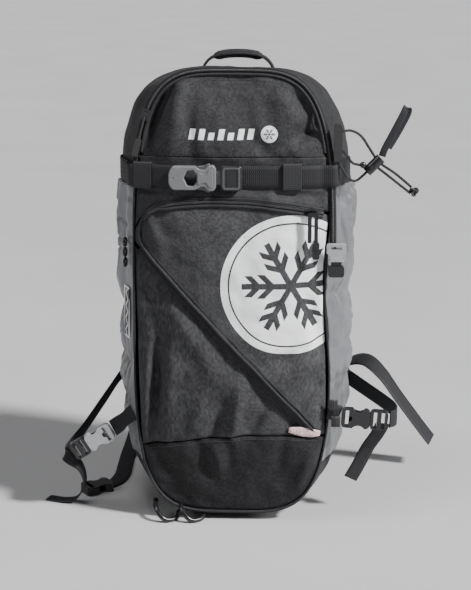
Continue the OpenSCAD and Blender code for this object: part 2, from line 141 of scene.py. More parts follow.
def mid_z(v):
    return (crown(v) + sole(v)) / 2


def half_h(v):
    return (crown(v) - sole(v)) / 2


def half_w(v):
    return mix(FRONT_HALF, BACK_HALF, v) + SIDE_SWELL * math.sin(math.pi * v)


def seam_y(z):
    return FRONT_LEAN * (max(z, 0) / FRONT_TOP) ** 1.6 - FRONT_DEPTH


def half_at(z, v=0.0):
    rise = abs(z - mid_z(v)) / half_h(v)
    return half_w(v) * max(0.0, 1 - rise ** SQUARENESS) ** (1 / SQUARENESS)


def rim(psi, v=0.0, inset=0.0):
    """point on the outline in direction psi (degrees), at depth v from front (0) to back (1)"""
    c, s = math.cos(math.radians(psi)), math.sin(math.radians(psi))
    k = (abs(c) ** SQUARENESS + abs(s) ** SQUARENESS) ** (-1 / SQUARENESS)
    z = mid_z(v) + (half_h(v) - inset) * s * k
    return Vector(((half_w(v) - inset) * c * k, mix(seam_y(z), BACK_DEPTH, v), z))


def reach(x, z):
    """0 at the middle of the front, 1 on its outline"""
    across, up = abs(x) / half_w(0), abs(z - mid_z(0)) / half_h(0)
    return (across ** SQUARENESS + up ** SQUARENESS) ** (1 / SQUARENESS)


def bulge(z):
    return FRONT_BULGE - STRAP_PINCH * hump(z - STRAP_Z, 34)


def smooth_front(x, z):
    return seam_y(z) - bulge(z) * max(0.0, 1 - reach(x, z) ** 3)


def edge_x(s, z):
    return s * (half_at(z) - GAP)


def pocket_top_z(s):
    return 381 - 12 * s * s - 26 * max(0.0, -s) ** 9 - 3 * s


def diagonal_z(s):
    return 215 - 115 * s


def boot_z(s):
    return 109 - 10 * s * s + 7 * s


def along_diagonal(lift, clear):
    """height of a line along the diagonal that stays clear of the boot panel"""
    return lambda s: max(diagonal_z(s) + lift, boot_z(s) + clear)


# ---- folds in the cloth

# crest or valley lines on the front: start x, z, end x, z, half width, height (negative sinks in)
FRONT_FOLDS = [
    (-72, 518, -99, 446, 8, -6.5), (-60, 512, -70, 440, 11, 4.0), (-98, 470, -103, 438, 5, 3.0),
    (-50, 478, -46, 436, 7, -1.6), (96, 470, 66, 438, 11, -5.5), (84, 446, 60, 434, 7, 3.5),
    (52, 500, 66, 470, 12, 1.8), (70, 500, 88, 478, 9, -2.4), (20, 452, 40, 436, 9, -1.8),
    (-104, 392, -60, 386, 4, -1.8), (88, 388, 40, 392, 5, -2.0), (10, 389, -30, 390, 5, 1.4),
    (-100, 372, -84, 330, 8, 1.4), (104, 340, 84, 300, 8, -2.2), (40, 196, 92, 212, 9, -2.4),
    (62, 176, 104, 202, 7, 2.2), (84, 150, 106, 186, 6, -2.4), (92, 262, 106, 210, 8, -2.0),
    (-84, 212, -90, 124, 7, -5.0), (-98, 190, -101, 120, 6, 2.8), (-70, 200, -76, 118, 10, 2.0),
    (-22, 112, -8, 146, 7, -3.4), (2, 112, 8, 156, 7, 3.2), (-42, 116, -34, 150, 9, 1.8),
    (-60, 250, -20, 190, 14, 1.6), (22, 118, 38, 140, 6, -2.4), (-100, 300, -92, 250, 7, -1.6),
    (-38, 98, -28, 62, 7, -1.8), (-4, 100, -2, 66, 7, -1.4), (-84, 92, -66, 52, 9, -2.0),
    (60, 102, 52, 66, 8, -1.6), (92, 84, 78, 48, 8, 2.2), (-20, 98, -14, 60, 6, 1.3),
]


def fold(x, z, x0, z0, x1, z1, width, height):
    dx, dz = x1 - x0, z1 - z0
    length = math.hypot(dx, dz)
    along = ((x - x0) * dx + (z - z0) * dz) / length
    off = ((x - x0) * dz - (z - z0) * dx) / length
    past = max(0.0, -along, along - length)
    ends = hump(past, 0.28 * length)
    taper = 0.55 + 0.45 * math.cos(math.pi * (clamp(along / length) - 0.45))
    return height * hump(off, width) * ends * taper


def rumple(p, size, seed):
    """smooth noise from -1 to 1 with bumps about size millimetres across"""
    return noise.noise(Vector((p[0] / size + seed, p[1] / size + 7.3, p[2] / size - seed)))


def front_relief(x, z):
    p = (x, 0, z)
    lift = 2.3 * sum(fold(x, z, *f) for f in FRONT_FOLDS)
    lift += 3.4 * rumple(p, 62, 3) + 2.4 * rumple(p, 26, 5) + 0.9 * rumple(p, 12, 9)
    below = diagonal_z(x / (half_at(z) - GAP)) - 4 - z
    if below > -6 and z > 96:
        lift -= 4.5 * clamp((below + 6) / 8) * hump(max(0, below), 26) * clamp((z - 96) / 30)
    near = math.exp(-(half_at(z) - abs(x)) / 11)
    lift += 0.8 * near * rumple((x, 0, z * 2.2), 12, 4)
    calm = clamp((1 - reach(x, z)) / 0.05)
    strap = hump(z - STRAP_Z, 17, 4)
    return lift * calm * (1 - 0.85 * strap) + 1.2 * strap * hump(z - STRAP_Z, 9)


def nudge(p):
    """the right side's nylon pushes the front seam in towards the middle of the pocket"""
    if p.x <= 0:
        return p
    share = min(1.0, p.x / max(half_at(p.z), 1)) ** 3
    pull = 8 * hump(p.z - 285, 80) * math.exp(-max(0, p.y - seam_y(p.z)) / 16)
    return p - Vector((pull * share, 0, 0))


def front(x, z, lift=0.0):
    """point on the folded front surface, lifted off it by some millimetres"""
    return nudge(Vector((x, smooth_front(x, z) - front_relief(x, z) - lift, z)))


# ---- mesh makers


def add_piece(name, points, faces, body, material, nodes=(), uvs=None, smooth=True):
    """one visible piece from points in millimetres: it rides on a body and stands for CAD nodes"""
    mesh = bpy.data.meshes.new(name)
    mesh.from_pydata([Vector(p) * MM for p in points], [], faces)
    if uvs:
        layer = mesh.uv_layers.new(name="cloth")
        for loop in mesh.loops:
            layer.data[loop.index].uv = uvs[loop.vertex_index]
    mesh.polygons.foreach_set("use_smooth", [smooth] * len(mesh.polygons))
    mesh.materials.append(material)
    mesh.validate()
    piece = link_new(name, mesh)
    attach(piece, body)
    if nodes:
        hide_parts(*nodes)
    return piece


def grid_faces(rows, cols, closed=False):
    wrap = cols if closed else cols - 1
    return [(i * cols + j, i * cols + (j + 1) % cols, (i + 1) * cols + (j + 1) % cols, (i + 1) * cols + j)
            for i in range(rows - 1) for j in range(wrap)]


def thicken(piece, millimetres, offset=-1.0):
    mod = piece.modifiers.new("cloth_thickness", "SOLIDIFY")
    mod.thickness = millimetres * MM
    mod.offset = offset
    mod.use_rim = True


def bevel(piece, millimetres, segments=3, angle=38):
    mod = piece.modifiers.new("soft_edges", "BEVEL")
    mod.width = millimetres * MM
    mod.segments = segments
    mod.limit_method = "ANGLE"
    mod.angle_limit = math.radians(angle)


def smooth_line(points, n):
    """Catmull-Rom line through the points, n steps between neighbours, as in part.scad"""
    pts = [Vector(p) for p in points]
    line = []
    for i in range(len(pts) - 1):
        a, b = pts[max(i - 1, 0)], pts[i]
        c, d = pts[i + 1], pts[min(i + 2, len(pts) - 1)]
        for k in range(n):
            t = k / n
            line.append(0.5 * (2 * b + (c - a) * t + (2 * a - 5 * b + 4 * c - d) * t * t
                               + (3 * b - a - 3 * c + d) * t ** 3))
    return line + [pts[-1]]


def line_length(line):
    return sum((b - a).length for a, b in zip(line, line[1:]))


def even_line(line, step):
    """the same line with points about step millimetres apart"""
    total = line_length(line)
    count = max(2, round(total / step))
    marks = [total * i / count for i in range(count + 1)]
    result, walked, k = [], 0.0, 0
    for mark in marks:
        while k < len(line) - 2 and walked + (line[k + 1] - line[k]).length < mark:
            walked += (line[k + 1] - line[k]).length
            k += 1
        span = (line[k + 1] - line[k]).length
        result.append(line[k].lerp(line[k + 1], clamp((mark - walked) / span) if span else 0))
    return result


def frames_along(line, side):
    """width direction and normal at each point; side is a vector or a function of 0..1"""
    result = []
    last = len(line) - 1
    for i in range(len(line)):
        heading = (line[min(i + 1, last)] - line[max(i - 1, 0)]).normalized()
        wide = Vector(side(i / last)) if callable(side) else Vector(side)
        wide = (wide - heading * wide.dot(heading)).normalized()
        result.append((wide, heading.cross(wide)))
    return result


def loft(name, rings, body, material, nodes=(), uvs=None):
    """closed tube through equal rings of points"""
    c = len(rings[0])
    points = [p for ring in rings for p in ring]
    faces = grid_faces(len(rings), c, closed=True)
    faces.append(tuple(reversed(range(c))))
    faces.append(tuple((len(rings) - 1) * c + j for j in range(c)))
    return add_piece(name, points, faces, body, material, nodes, uvs)


def sweep(name, line, side, section, body, material, nodes):
    """solid along a line; section(i) gives (across, up, place round the section) for each of its points"""
    rings, uvs, run = [], [], 0.0
    for i, (p, (w, n)) in enumerate(zip(line, frames_along(line, side))):
        run += (p - line[i - 1]).length if i else 0
        places = section(i)
        rings.append([p + w * across + n * up for across, up, _ in places])
        uvs += [(run * MM, v * MM) for _, _, v in places]
    return loft(name, rings, body, material, nodes, uvs)


# half a strap's section, from its rim over the top: share of half the width, share of half the thickness
STRAP_TOP = ((1, 0.35), (0.97, 1), (0.5, 1.05), (0, 1.08), (-0.5, 1.05), (-0.97, 1), (-1, 0.35))
STRAP_SECTION = STRAP_TOP + tuple((-a, -b) for a, b in STRAP_TOP)


def squared(a, power):
    """cosine and sine of an angle, pushed out towards a rounded square as the power drops below 1"""
    return [math.copysign(abs(c) ** power, c) for c in (math.cos(a), math.sin(a))]


def webbing(name, points, side, width, thick, body, material, nodes=(), steps=8,
            rib=2.3, relief=0.22):
    """ribbed strap: its thickness rises and falls with each rib"""
    line = even_line(smooth_line(points, steps), rib / 4)

    def section(i):
        t = thick / 2 - relief * (0.5 - 0.5 * math.cos(TURN * i / 4))
        return [(a * width / 2, b * t, a * width / 2) for a, b in STRAP_SECTION]
    return sweep(name, line, side, section, body, material, nodes)


def tube(name, line, radius, body, material, nodes=(), sides=10):
    """round piece along a line; radius is a number or a function of 0..1"""
    angles = [TURN * k / sides for k in range(sides)]

    def section(i):
        r = radius(i / (len(line) - 1)) if callable(radius) else radius
        return [(r * math.cos(a), r * math.sin(a), r * a) for a in angles]
    return sweep(name, line, (0.02, 1, 0.03), section, body, material, nodes)


def piping(name, line, radius, step=2.2, body="bag", nodes=()):
    """cloth-covered cord sewn into a seam"""
    tube(name, even_line(line, step), radius, body, PIPING, nodes)


def stitches(name, line, body, pitch=3.6, length=2.6, thick=0.34):
    """row of thread stitches along a line on the front of the bag"""
    marks = even_line(line, pitch)
    points, faces = [], []
    out = Vector((0, -1, 0))
    for a, b in zip(marks, marks[1:]):
        heading = (b - a).normalized()
        across = heading.cross(out).normalized()
        mid = a.lerp(b, 0.5)
        base = len(points)
        for t, lift in ((-0.5, -0.2), (-0.3, 0.22), (0.3, 0.22), (0.5, -0.2)):
            centre = mid + heading * (t * length) + out * lift
            points += [centre + way * thick for way in (across, out, -across, -out)]
        for face in grid_faces(4, 4, closed=True) + [(3, 2, 1, 0), (12, 13, 14, 15)]:
            faces.append(tuple(base + q for q in face))
    return add_piece(name, points, faces, body, THREAD)


# ---- materials


class Paint:
    """a material and short calls that add nodes to it"""

    def __init__(self, name, colour, rough, **sockets):
        self.material = bpy.data.materials.new(name)
        self.material.use_nodes = True
        self.tree = self.material.node_tree
        self.shader = self.tree.nodes["Principled BSDF"]
        self.shader.inputs["Base Color"].default_value = (*colour, 1)
        self.shader.inputs["Roughness"].default_value = rough
        for socket, value in sockets.items():
            self.shader.inputs[socket.replace("_", " ")].default_value = value
        self.normal = None

    def add(self, kind, inputs=(), **settings):
        made = self.tree.nodes.new(kind)
        for key, value in settings.items():
            setattr(made, key, value)
        for key, value in dict(inputs).items():
            if isinstance(value, bpy.types.NodeSocket):
                self.tree.links.new(value, made.inputs[key])
            else:
                made.inputs[key].default_value = value
        return made

    def math(self, operation, a, b=0.0, c=0.0):
        return self.add("ShaderNodeMath", {0: a, 1: b, 2: c}, operation=operation).outputs[0]

    def plus(self, a, b):
        return self.math("ADD", a, b)

    def minus(self, a, b):
        return self.math("SUBTRACT", a, b)

    def times(self, a, b):
        return self.math("MULTIPLY", a, b)

    def either(self, a, b):
        return self.math("MAXIMUM", a, b)

    def between(self, value, low, high):
        return self.times(self.math("GREATER_THAN", value, low), self.math("LESS_THAN", value, high))

    def place(self):
        """object x, y, z in metres"""
        return self.add("ShaderNodeTexCoord").outputs["Object"]

    def axes(self, vector):
        return self.add("ShaderNodeSeparateXYZ", {0: vector}).outputs

    def uv(self):
        return self.axes(self.add("ShaderNodeTexCoord").outputs["UV"])

    def noise(self, scale, detail=2.0, roughness=0.5, stretch=None, source=None):
        vector = source if source else self.place()
        if stretch:
            vector = self.add("ShaderNodeMapping", {"Vector": vector, "Scale": stretch}).outputs[0]
        made = self.add("ShaderNodeTexNoise", {"Vector": vector, "Scale": scale, "Detail": detail,
                                               "Roughness": roughness})
        return made.outputs["Fac"]

    def ramp(self, value, low, high, out_low=0.0, out_high=1.0):
        return self.add("ShaderNodeMapRange", {0: value, 1: low, 2: high, 3: out_low, 4: out_high}).outputs[0]

    def blend(self, amount, a, b):
        a, b = (c if isinstance(c, bpy.types.NodeSocket) else (*c, 1) for c in (a, b))
        return self.add("ShaderNodeMix", {0: amount, 6: a, 7: b}, data_type="RGBA").outputs[2]

    def colour(self, socket):
        self.tree.links.new(socket, self.shader.inputs["Base Color"])

    def rough(self, socket):
        self.tree.links.new(socket, self.shader.inputs["Roughness"])

    def bump(self, height, millimetres, strength=1.0):
        inputs = {"Height": height, "Distance": millimetres * MM, "Strength": strength}
        if self.normal:
            inputs["Normal"] = self.normal
        self.normal = self.add("ShaderNodeBump", inputs).outputs[0]
        self.tree.links.new(self.normal, self.shader.inputs["Normal"])

    def cells(self, pitch):
        """a random value from 0 to 1 for each square of the cloth, as uneven yarns give"""
        u, v, _ = self.uv()
        snapped = self.add("ShaderNodeCombineXYZ", {0: self.math("SNAP", u, pitch * MM),
                                                    1: self.math("SNAP", v, pitch * MM)}).outputs[0]
        made = self.add("ShaderNodeTexWhiteNoise", {"Vector": snapped}, noise_dimensions="2D")
        return made.outputs["Value"]

    def waves(self, value, pitch):
        """sine of a length in metres, one wave per pitch millimetres"""
        return self.math("SINE", self.times(value, TURN / (pitch * MM)))


def scaled(colour, k):
    return tuple(min(1.0, c * k) for c in colour)


def weave(paint, pitch, depth, strength=1.0):
    """plain weave over the cloth's own u and v"""
    u, v, _ = paint.uv()
    over = paint.times(paint.waves(u, pitch * 2), paint.waves(v, pitch * 2))
    warp = paint.math("ABSOLUTE", paint.waves(u, pitch * 2))
    weft = paint.math("ABSOLUTE", paint.waves(v, pitch * 2))
    side = paint.ramp(over, -0.15, 0.15)
    height = paint.plus(paint.times(warp, side), paint.times(weft, paint.minus(1.0, side)))
    paint.bump(height, depth, strength)
    return height


def cordura(name, colour, pitch=0.85, depth=0.07):
    paint = Paint(name, colour, 0.82, Sheen_Weight=0.03, Sheen_Roughness=0.4, Specular_IOR_Level=0.14)
    height = weave(paint, pitch, depth)
    grain = paint.noise(1300, 2, 0.6)
    dust = paint.noise(14, 3, 0.5)
    yarns = paint.cells(pitch * 1.7)
    # random yarn tone plus the weave's own height: the weave's low points are painted darker and its tops
    # lighter, painted shade and painted light
    yarn_tone_and_weave_shade = paint.plus(paint.times(yarns, 0.6), paint.times(height, 0.25))
    yarn_tone_and_weave_shade = paint.plus(yarn_tone_and_weave_shade, paint.times(grain, 0.3))
    cloth = paint.blend(paint.ramp(yarn_tone_and_weave_shade, 0.2, 1.05), scaled(colour, 0.58), scaled(colour, 1.5))
    cloth = paint.blend(paint.ramp(dust, 0.45, 0.8, 0.0, 0.25), cloth, scaled(colour, 1.6))
    paint.bump(paint.noise(90, 3, 0.6), 0.4, 0.4)
    paint.rough(paint.ramp(grain, 0.2, 0.8, 0.52, 0.78))
    paint.base = cloth
    paint.colour(cloth)
    return paint


def nylon(name, colour):
    paint = Paint(name, colour, 0.4, Sheen_Weight=0.08, Sheen_Roughness=0.35, Specular_IOR_Level=0.75)
    weave(paint, 0.55, 0.02, 0.8)
    crinkle = paint.noise(110, 4, 0.6, stretch=(1, 1, 0.7))
    soft = paint.noise(30, 2, 0.5)
    paint.bump(crinkle, 0.5, 0.5)
    paint.bump(soft, 1.6, 0.5)
    shade = paint.noise(11, 3, 0.5)
    cloth = paint.blend(paint.ramp(shade, 0.35, 0.7), scaled(colour, 0.82), scaled(colour, 1.12))
    fine = paint.noise(900, 2, 0.5)
    paint.colour(paint.blend(paint.ramp(fine, 0.3, 0.7, 0.0, 0.22), cloth, scaled(colour, 0.5)))
    paint.rough(paint.ramp(crinkle, 0.3, 0.7, 0.34, 0.5))
    return paint.material


def strap_cloth(name, colour):
    """nylon webbing: fine yarns along the ribs that the mesh already has"""
    paint = Paint(name, colour, 0.55, Sheen_Weight=0.05, Sheen_Roughness=0.4, Specular_IOR_Level=0.3)
    u, v, _ = paint.uv()
    yarn = paint.waves(v, 1.25)
    slant = paint.waves(paint.plus(u, paint.times(v, 0.5)), 2.3)
    paint.bump(paint.plus(paint.times(yarn, 0.5), slant), 0.07)
    fuzz = paint.noise(1500, 2, 0.6)
    paint.bump(fuzz, 0.05, 0.6)
    # the colour darkens and lightens once every 2.3 mm along the strap, the pitch of the webbing's ribs:
    # painted shade and painted light on the ribs
    rib = paint.ramp(paint.waves(u, 2.3), -1.0, 1.0)
    cloth = paint.blend(rib, scaled(colour, 0.6), scaled(colour, 1.5))
    paint.colour(paint.blend(paint.ramp(fuzz, 0.3, 0.75, 0.0, 0.5), cloth, scaled(colour, 2.1)))
    paint.rough(paint.ramp(fuzz, 0.3, 0.7, 0.5, 0.75))
    return paint.material


def moulded(name, colour, rough=0.34, wear=1.6):
    """acetal: faint moulding grain, lighter scuffs"""
    paint = Paint(name, colour, rough, Coat_Weight=0.15, Coat_Roughness=0.25)
    grain = paint.noise(900, 3, 0.6)
    scuff = paint.noise(60, 5, 0.7, stretch=(1, 1, 3))
    paint.bump(grain, 0.03, 0.6)
    paint.bump(paint.noise(45, 2, 0.5), 0.25, 0.35)
    marks = paint.ramp(scuff, 0.58, 0.75, 0.0, 0.5)
    paint.colour(paint.blend(marks, colour, scaled(colour, wear)))
    paint.rough(paint.ramp(scuff, 0.35, 0.75, rough * 0.85, min(1.0, rough * 1.6)))
    return paint.material


def metal(name, colour, rough=0.28):
    paint = Paint(name, colour, rough, Metallic=1.0)
    brushed = paint.noise(400, 3, 0.6, stretch=(1, 1, 0.1))
    paint.bump(brushed, 0.02, 0.5)
    tarnish = paint.ramp(paint.noise(80, 4, 0.7), 0.5, 0.7, 0, 0.6)
    paint.colour(paint.blend(tarnish, colour, scaled(colour, 0.55)))
    paint.rough(paint.ramp(brushed, 0.3, 0.7, rough * 0.8, rough * 1.5))
    return paint.material


def spacer_mesh(name, colour):
    """air mesh over foam: small open cells"""
    paint = Paint(name, colour, 0.9, Sheen_Weight=0.06, Sheen_Roughness=0.6)
    cells = paint.add("ShaderNodeTexVoronoi", {"Vector": paint.place(), "Scale": 330.0}).outputs["Distance"]
    hole = paint.ramp(cells, 0.18, 0.5)
    paint.bump(hole, 0.7)
    # the sunken cells are painted dark: painted shade inside the open cells of the mesh
    paint.colour(paint.blend(hole, scaled(colour, 0.25), scaled(colour, 1.6)))
    return paint.material


def braided(name, colour):
    paint = Paint(name, colour, 0.5, Sheen_Weight=0.06, Sheen_Roughness=0.4)
    u, v, _ = paint.uv()
    a = paint.waves(paint.plus(u, v), 1.5)
    b = paint.waves(paint.minus(u, v), 1.5)
    plait = paint.times(a, b)
    paint.bump(plait, 0.25)
    # the colour follows the plait's height: painted shade in its hollows and painted light on its raised
    # strands
    paint.colour(paint.blend(paint.ramp(plait, -0.6, 0.8), scaled(colour, 0.5), scaled(colour, 1.9)))
    return paint.material


BLACK = (0.008, 0.008, 0.0092)
CHARCOAL = (0.036, 0.036, 0.0385)


def printed_disc(paint, cx, cz, radius):
    """white disc with a dark ring line and a six-armed snowflake: 1 where the ink is"""
    x, _, z = paint.axes(paint.place())
    x = paint.minus(x, cx * MM)
    z = paint.minus(z, cz * MM)
    r = paint.math("SQRT", paint.plus(paint.times(x, x), paint.times(z, z)))
    r = paint.math("DIVIDE", r, radius * MM)
    turn = paint.math("DIVIDE", paint.math("ARCTAN2", z, x), math.pi / 3)
    sector = paint.minus(turn, paint.math("ROUND", turn))
    angle = paint.times(sector, math.pi / 3)
    along = paint.times(r, paint.math("COSINE", angle))
    off = paint.math("ABSOLUTE", paint.times(r, paint.math("SINE", angle)))
    disc = paint.math("LESS_THAN", r, 1.0)
    ring = paint.math("COMPARE", r, 0.885, 0.012)
    arm = paint.times(paint.math("LESS_THAN", off, 0.042), paint.math("LESS_THAN", along, 0.70))
    star = arm
    for start, tip in ((0.26, 0.17), (0.46, 0.15)):
        lean = paint.math("ABSOLUTE", paint.minus(off, paint.minus(along, start)))
        twig = paint.times(paint.math("LESS_THAN", lean, 0.055), paint.math("LESS_THAN", off, tip))
        star = paint.either(star, twig)
    dark = paint.either(ring, star)
    return paint.times(disc, paint.minus(1.0, dark))


def printed_bars(paint, left, low, heights, width, gap):
    """a plain row of slanted bars where a word would be"""
    x, _, z = paint.axes(paint.place())
    x = paint.minus(x, paint.times(z, 0.18))
    ink = None
    for k, tall in enumerate(heights):
        start = (left - 0.18 * low + k * (width + gap)) * MM
        inside = paint.between(x, start, start + width * MM)
        high = paint.between(z, low * MM, (low + tall) * MM)
        bar = paint.times(inside, high)
        ink = paint.either(ink, bar) if ink else bar
    return ink


def ink_over(paint, ink, colour=(0.92, 0.93, 0.94)):
    worn = paint.ramp(paint.noise(500, 3, 0.7), 0.25, 0.35)
    paint.colour(paint.blend(paint.times(ink, worn), paint.base, colour))


def pocket_cloth():
    # the pocket's cordura is a lighter copy of the same cordura on the dome and the band: painted light
    paint = cordura("cloth_pocket_painted_light", scaled(CHARCOAL, 1.3), pitch=1.3, depth=0.16)
    ink_over(paint, printed_disc(paint, 67, 287, 80))
    return paint.material


def dome_cloth():
    paint = cordura("cloth_dome", scaled(CHARCOAL, 0.95), pitch=1.3, depth=0.16)
    disc = printed_disc(paint, 41, 456, 9.5)
    bars = printed_bars(paint, -50, 450, (12, 12, 8, 12, 8, 12, 12), 6.5, 4.5)
    ink_over(paint, paint.either(disc, bars))
    return paint.material


CLOTH_POCKET_PAINTED_LIGHT = pocket_cloth()
CLOTH_DOME = dome_cloth()
CLOTH_DARK = cordura("cloth_dark", scaled(CHARCOAL, 0.7)).material
CLOTH_BAND = cordura("cloth_band", CHARCOAL).material
CLOTH_LOWER = cordura("cloth_lower", scaled(CHARCOAL, 1.15), pitch=1.6, depth=0.2).material
# the boot panel's cordura is a darker copy, 0.55 of the charcoal: painted shade on the panel that curves
# under towards the floor
CLOTH_BOOT_PAINTED_SHADE = cordura("cloth_boot_painted_shade", scaled(CHARCOAL, 0.55), pitch=1.4, depth=0.18).material
NYLON = nylon("nylon_side", (0.14, 0.145, 0.155))
LINING = nylon("lining", (0.09, 0.095, 0.105))
WEBBING = strap_cloth("webbing", scaled(BLACK, 1.5))
ELASTIC = strap_cloth("elastic", scaled(BLACK, 2.2))
# light grey copy of the black acetal: painted highlight, standing in for the reflection on glossy black
# plastic
ACETAL_PAINTED_HIGHLIGHT = moulded("acetal_silver", (0.34, 0.35, 0.365), 0.3, 1.25)
# dark grey copy of the black acetal for the plug's tongue and rim and the socket's arms: painted sheen,
# brightest along the rim's edges
ACETAL_DARK_PAINTED_SHEEN = moulded("acetal_dark_painted_sheen", (0.07, 0.072, 0.078), 0.28, 1.8)
ACETAL = moulded("acetal_black", (0.011, 0.011, 0.0125), 0.24, 2.5)
RUBBER = moulded("rubber", (0.02, 0.02, 0.021), 0.6, 2.0)
ZIP = moulded("zip_coil", (0.018, 0.018, 0.02), 0.42, 2.0)
TAPE = strap_cloth("zip_tape", scaled(BLACK, 0.9))
ALUMINIUM = metal("aluminium", (0.7, 0.71, 0.73), 0.4)
SHEET = moulded("frame_sheet", (0.72, 0.72, 0.69), 0.5, 1.1)
MESH = spacer_mesh("spacer_mesh", (0.02, 0.02, 0.023))
BRAID = braided("braid", (0.016, 0.016, 0.018))
THREAD = braided("thread", (0.032, 0.032, 0.036))
PIPING = cordura("piping", scaled(CHARCOAL, 0.8), pitch=0.6).material
DARK_STEEL = metal("dark_plated_metal", (0.075, 0.075, 0.08), 0.26)
# mid grey copy of the black acetal for the front socket: painted sheen on glossy black plastic
ACETAL_MID_PAINTED_SHEEN = moulded("acetal_mid_painted_sheen", (0.15, 0.153, 0.16), 0.26, 1.5)


def patch_cloth():
    """woven label: light border and a ridge line on dark cloth"""
    paint = cordura("label", (0.09, 0.09, 0.1))
    _, y, z = paint.axes(paint.place())
    u = paint.ramp(y, -0.0755, -0.058)
    v = paint.ramp(z, 0.216, 0.276)
    sides = paint.math("GREATER_THAN", paint.math("ABSOLUTE", paint.minus(u, 0.5)), 0.4)
    ends = paint.math("GREATER_THAN", paint.math("ABSOLUTE", paint.minus(v, 0.5)), 0.47)
    edge = paint.either(sides, ends)
    zigzag = paint.math("PINGPONG", paint.times(v, 4.0), 0.5)
    peaks = paint.plus(paint.times(zigzag, 0.8), 0.3)
    line = paint.math("COMPARE", u, peaks, 0.07)
    ink_over(paint, paint.either(edge, line))
    return paint.material


LABEL = patch_cloth()
TAPE_PINK = cordura("tape_pink", (0.62, 0.45, 0.46), pitch=0.8).material

# ---- floor


def make_floor():
    """pale floor that reaches far enough to hide the horizon"""
    mesh = bpy.data.meshes.new("floor")
    far = 200
    mesh.from_pydata([(-far, -far, 0), (far, -far, 0), (far, far, 0), (-far, far, 0)], [], [(0, 1, 2, 3)])
    paint = Paint("studio_floor", (0.5, 0.5, 0.5), 0.85)
    cloudy = paint.ramp(paint.noise(3, 3, 0.5), 0.3, 0.7)
    paint.colour(paint.blend(cloudy, (0.48, 0.48, 0.485), (0.52, 0.52, 0.525)))
    mesh.materials.append(paint.material)
    link_new("floor", mesh)


make_floor()

# ---- cords on the right shoulder

UPPER_ROUTE = [(118, -70, 458), (124, -70, 459), (133, -71, 460), (144, -71, 454), (153, -70, 441),
               (161, -70, 429), (169, -70, 421), (184, -70, 411), (202, -70, 396)]
LOWER_ROUTE = [(118, -70, 429), (119, -72, 424), (123, -75, 418), (127, -75, 411), (132, -73, 405),
               (139, -71, 403), (146, -70, 408), (152, -70, 414)]
TAIL_ROUTE = [(162, -70, 419), (174, -70, 410), (188, -70, 399), (201, -70, 389)]
STUB_ROUTE = [(118, -70, 438), (124, -71, 437), (130, -74, 430), (135, -76, 424), (143, -76, 422)]
LOCK_TAPE = [(168, -70, 431), (171, -71, 440), (180, -72, 458), (190, -72, 478), (194, -70, 486),
             (196, -67, 480), (186, -66, 459), (175, -67, 440)]
CORD = 3


def shock_cord(name, points, node):
    line = smooth_line(points, 10)
    line = even_line(line, line_length(line) / 24)
    piece = tube(name, line, CORD / 2, "bag", BRAID, (node,), sides=12)


def knot(name, centre, size, node):
    """overhand knot, as a trefoil of cord pulled small"""
    line = []
    for i in range(73):
        t = TURN * i / 72
        line.append(Vector(centre) + size * Vector((math.sin(t) + 2 * math.sin(2 * t), -1.4 * math.sin(3 * t),
                                                     math.cos(t) - 2 * math.cos(2 * t))))
    return tube(name, line[:-1], 1.45, "bag", BRAID, (node,))


def dress(node, material, edge=0.5, segments=3):
    """a CAD part that keeps its shape: it gets its material and softened edges"""
    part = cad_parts[node]
    for place in part.material_slots:
        place.material = material
    if edge:
        bevel(part, edge, segments)
    return part


def make_cords():
    webbing("lock_pull_tape", LOCK_TAPE, (1, 0, -0.4), 8, 1.0, "bag", ELASTIC, ("lock_tape",), rib=1.8,
            relief=0.1)
    end = knot("tail_knot_tied", (205, -70, 391), 1.5, "tail_knot")
    lock = dress("cord_lock", ACETAL, 0.7)
    button = dress("lock_button", ACETAL, 0.5)
    knob = dress("cord_knob", ACETAL, 0)
    shock_cord("cord_upper", UPPER_ROUTE, "shock_cord_upper")
    shock_cord("cord_lower", LOWER_ROUTE, "shock_cord_lower")
    shock_cord("cord_tail", TAIL_ROUTE, "shock_cord_tail")
    shock_cord("cord_stub", STUB_ROUTE, "shock_cord_stub")
    dress("cord_wrap", RUBBER, 0.8)


make_cords()

# ---- front of the bag


def cloth(name, rows, body, material, nodes, slot, thick=1.2):
    """sewn cloth panel from rows of points, lined on its inner side"""
    points = [p for row in rows for p in row]
    uvs = []
    up = 0.0
    for i, row in enumerate(rows):
        up += (row[len(row) // 2] - rows[i - 1][len(row) // 2]).length if i else 0
        run = -sum((b - a).length for a, b in zip(row, row[1:])) / 2
        for j, p in enumerate(row):
            run += (p - row[j - 1]).length if j else 0
            uvs.append((run * MM, up * MM))
    piece = add_piece(name, points, grid_faces(len(rows), len(rows[0])), body, material, nodes, uvs)
    piece.data.materials.append(LINING)
    thicken(piece, thick)
    piece.modifiers["cloth_thickness"].material_offset = 1
    return piece


def front_rows(low, high, step=2.0, tuck=1.6, low_seam=True, high_seam=True):
    """grid on the folded front between two lines of (x, z); its rim turns in towards the seams"""
    n = max(4, round(abs(low(1)[0] - low(0)[0]) / step), round(abs(high(1)[0] - high(0)[0]) / step))
    tall = max(abs(high(t)[1] - low(t)[1]) for t in (0, 0.25, 0.5, 0.75, 1))
    m = max(4, round(tall / step))
    rows = []
    for k in range(m + 1):
        row = []
        for i in range(n + 1):
            a, b = low(i / n), high(i / n)
            x, z = mix(a[0], b[0], k / m), mix(a[1], b[1], k / m)
            up = abs(b[1] - z) if high_seam else 99
            down = abs(z - a[1]) if low_seam else 99
            side = min(abs(x - mix(low(0)[0], high(0)[0], k / m)), abs(mix(low(1)[0], high(1)[0], k / m) - x))
            near = min(up, down, side)
            turn = tuck * hump(near, 1.6)
            gather = 0.5 * math.exp(-min(up, down) / 6) * rumple((x, 0, z), 6, 14)
            row.append(front(x, z, gather - turn))
        rows.append(row)
    return rows


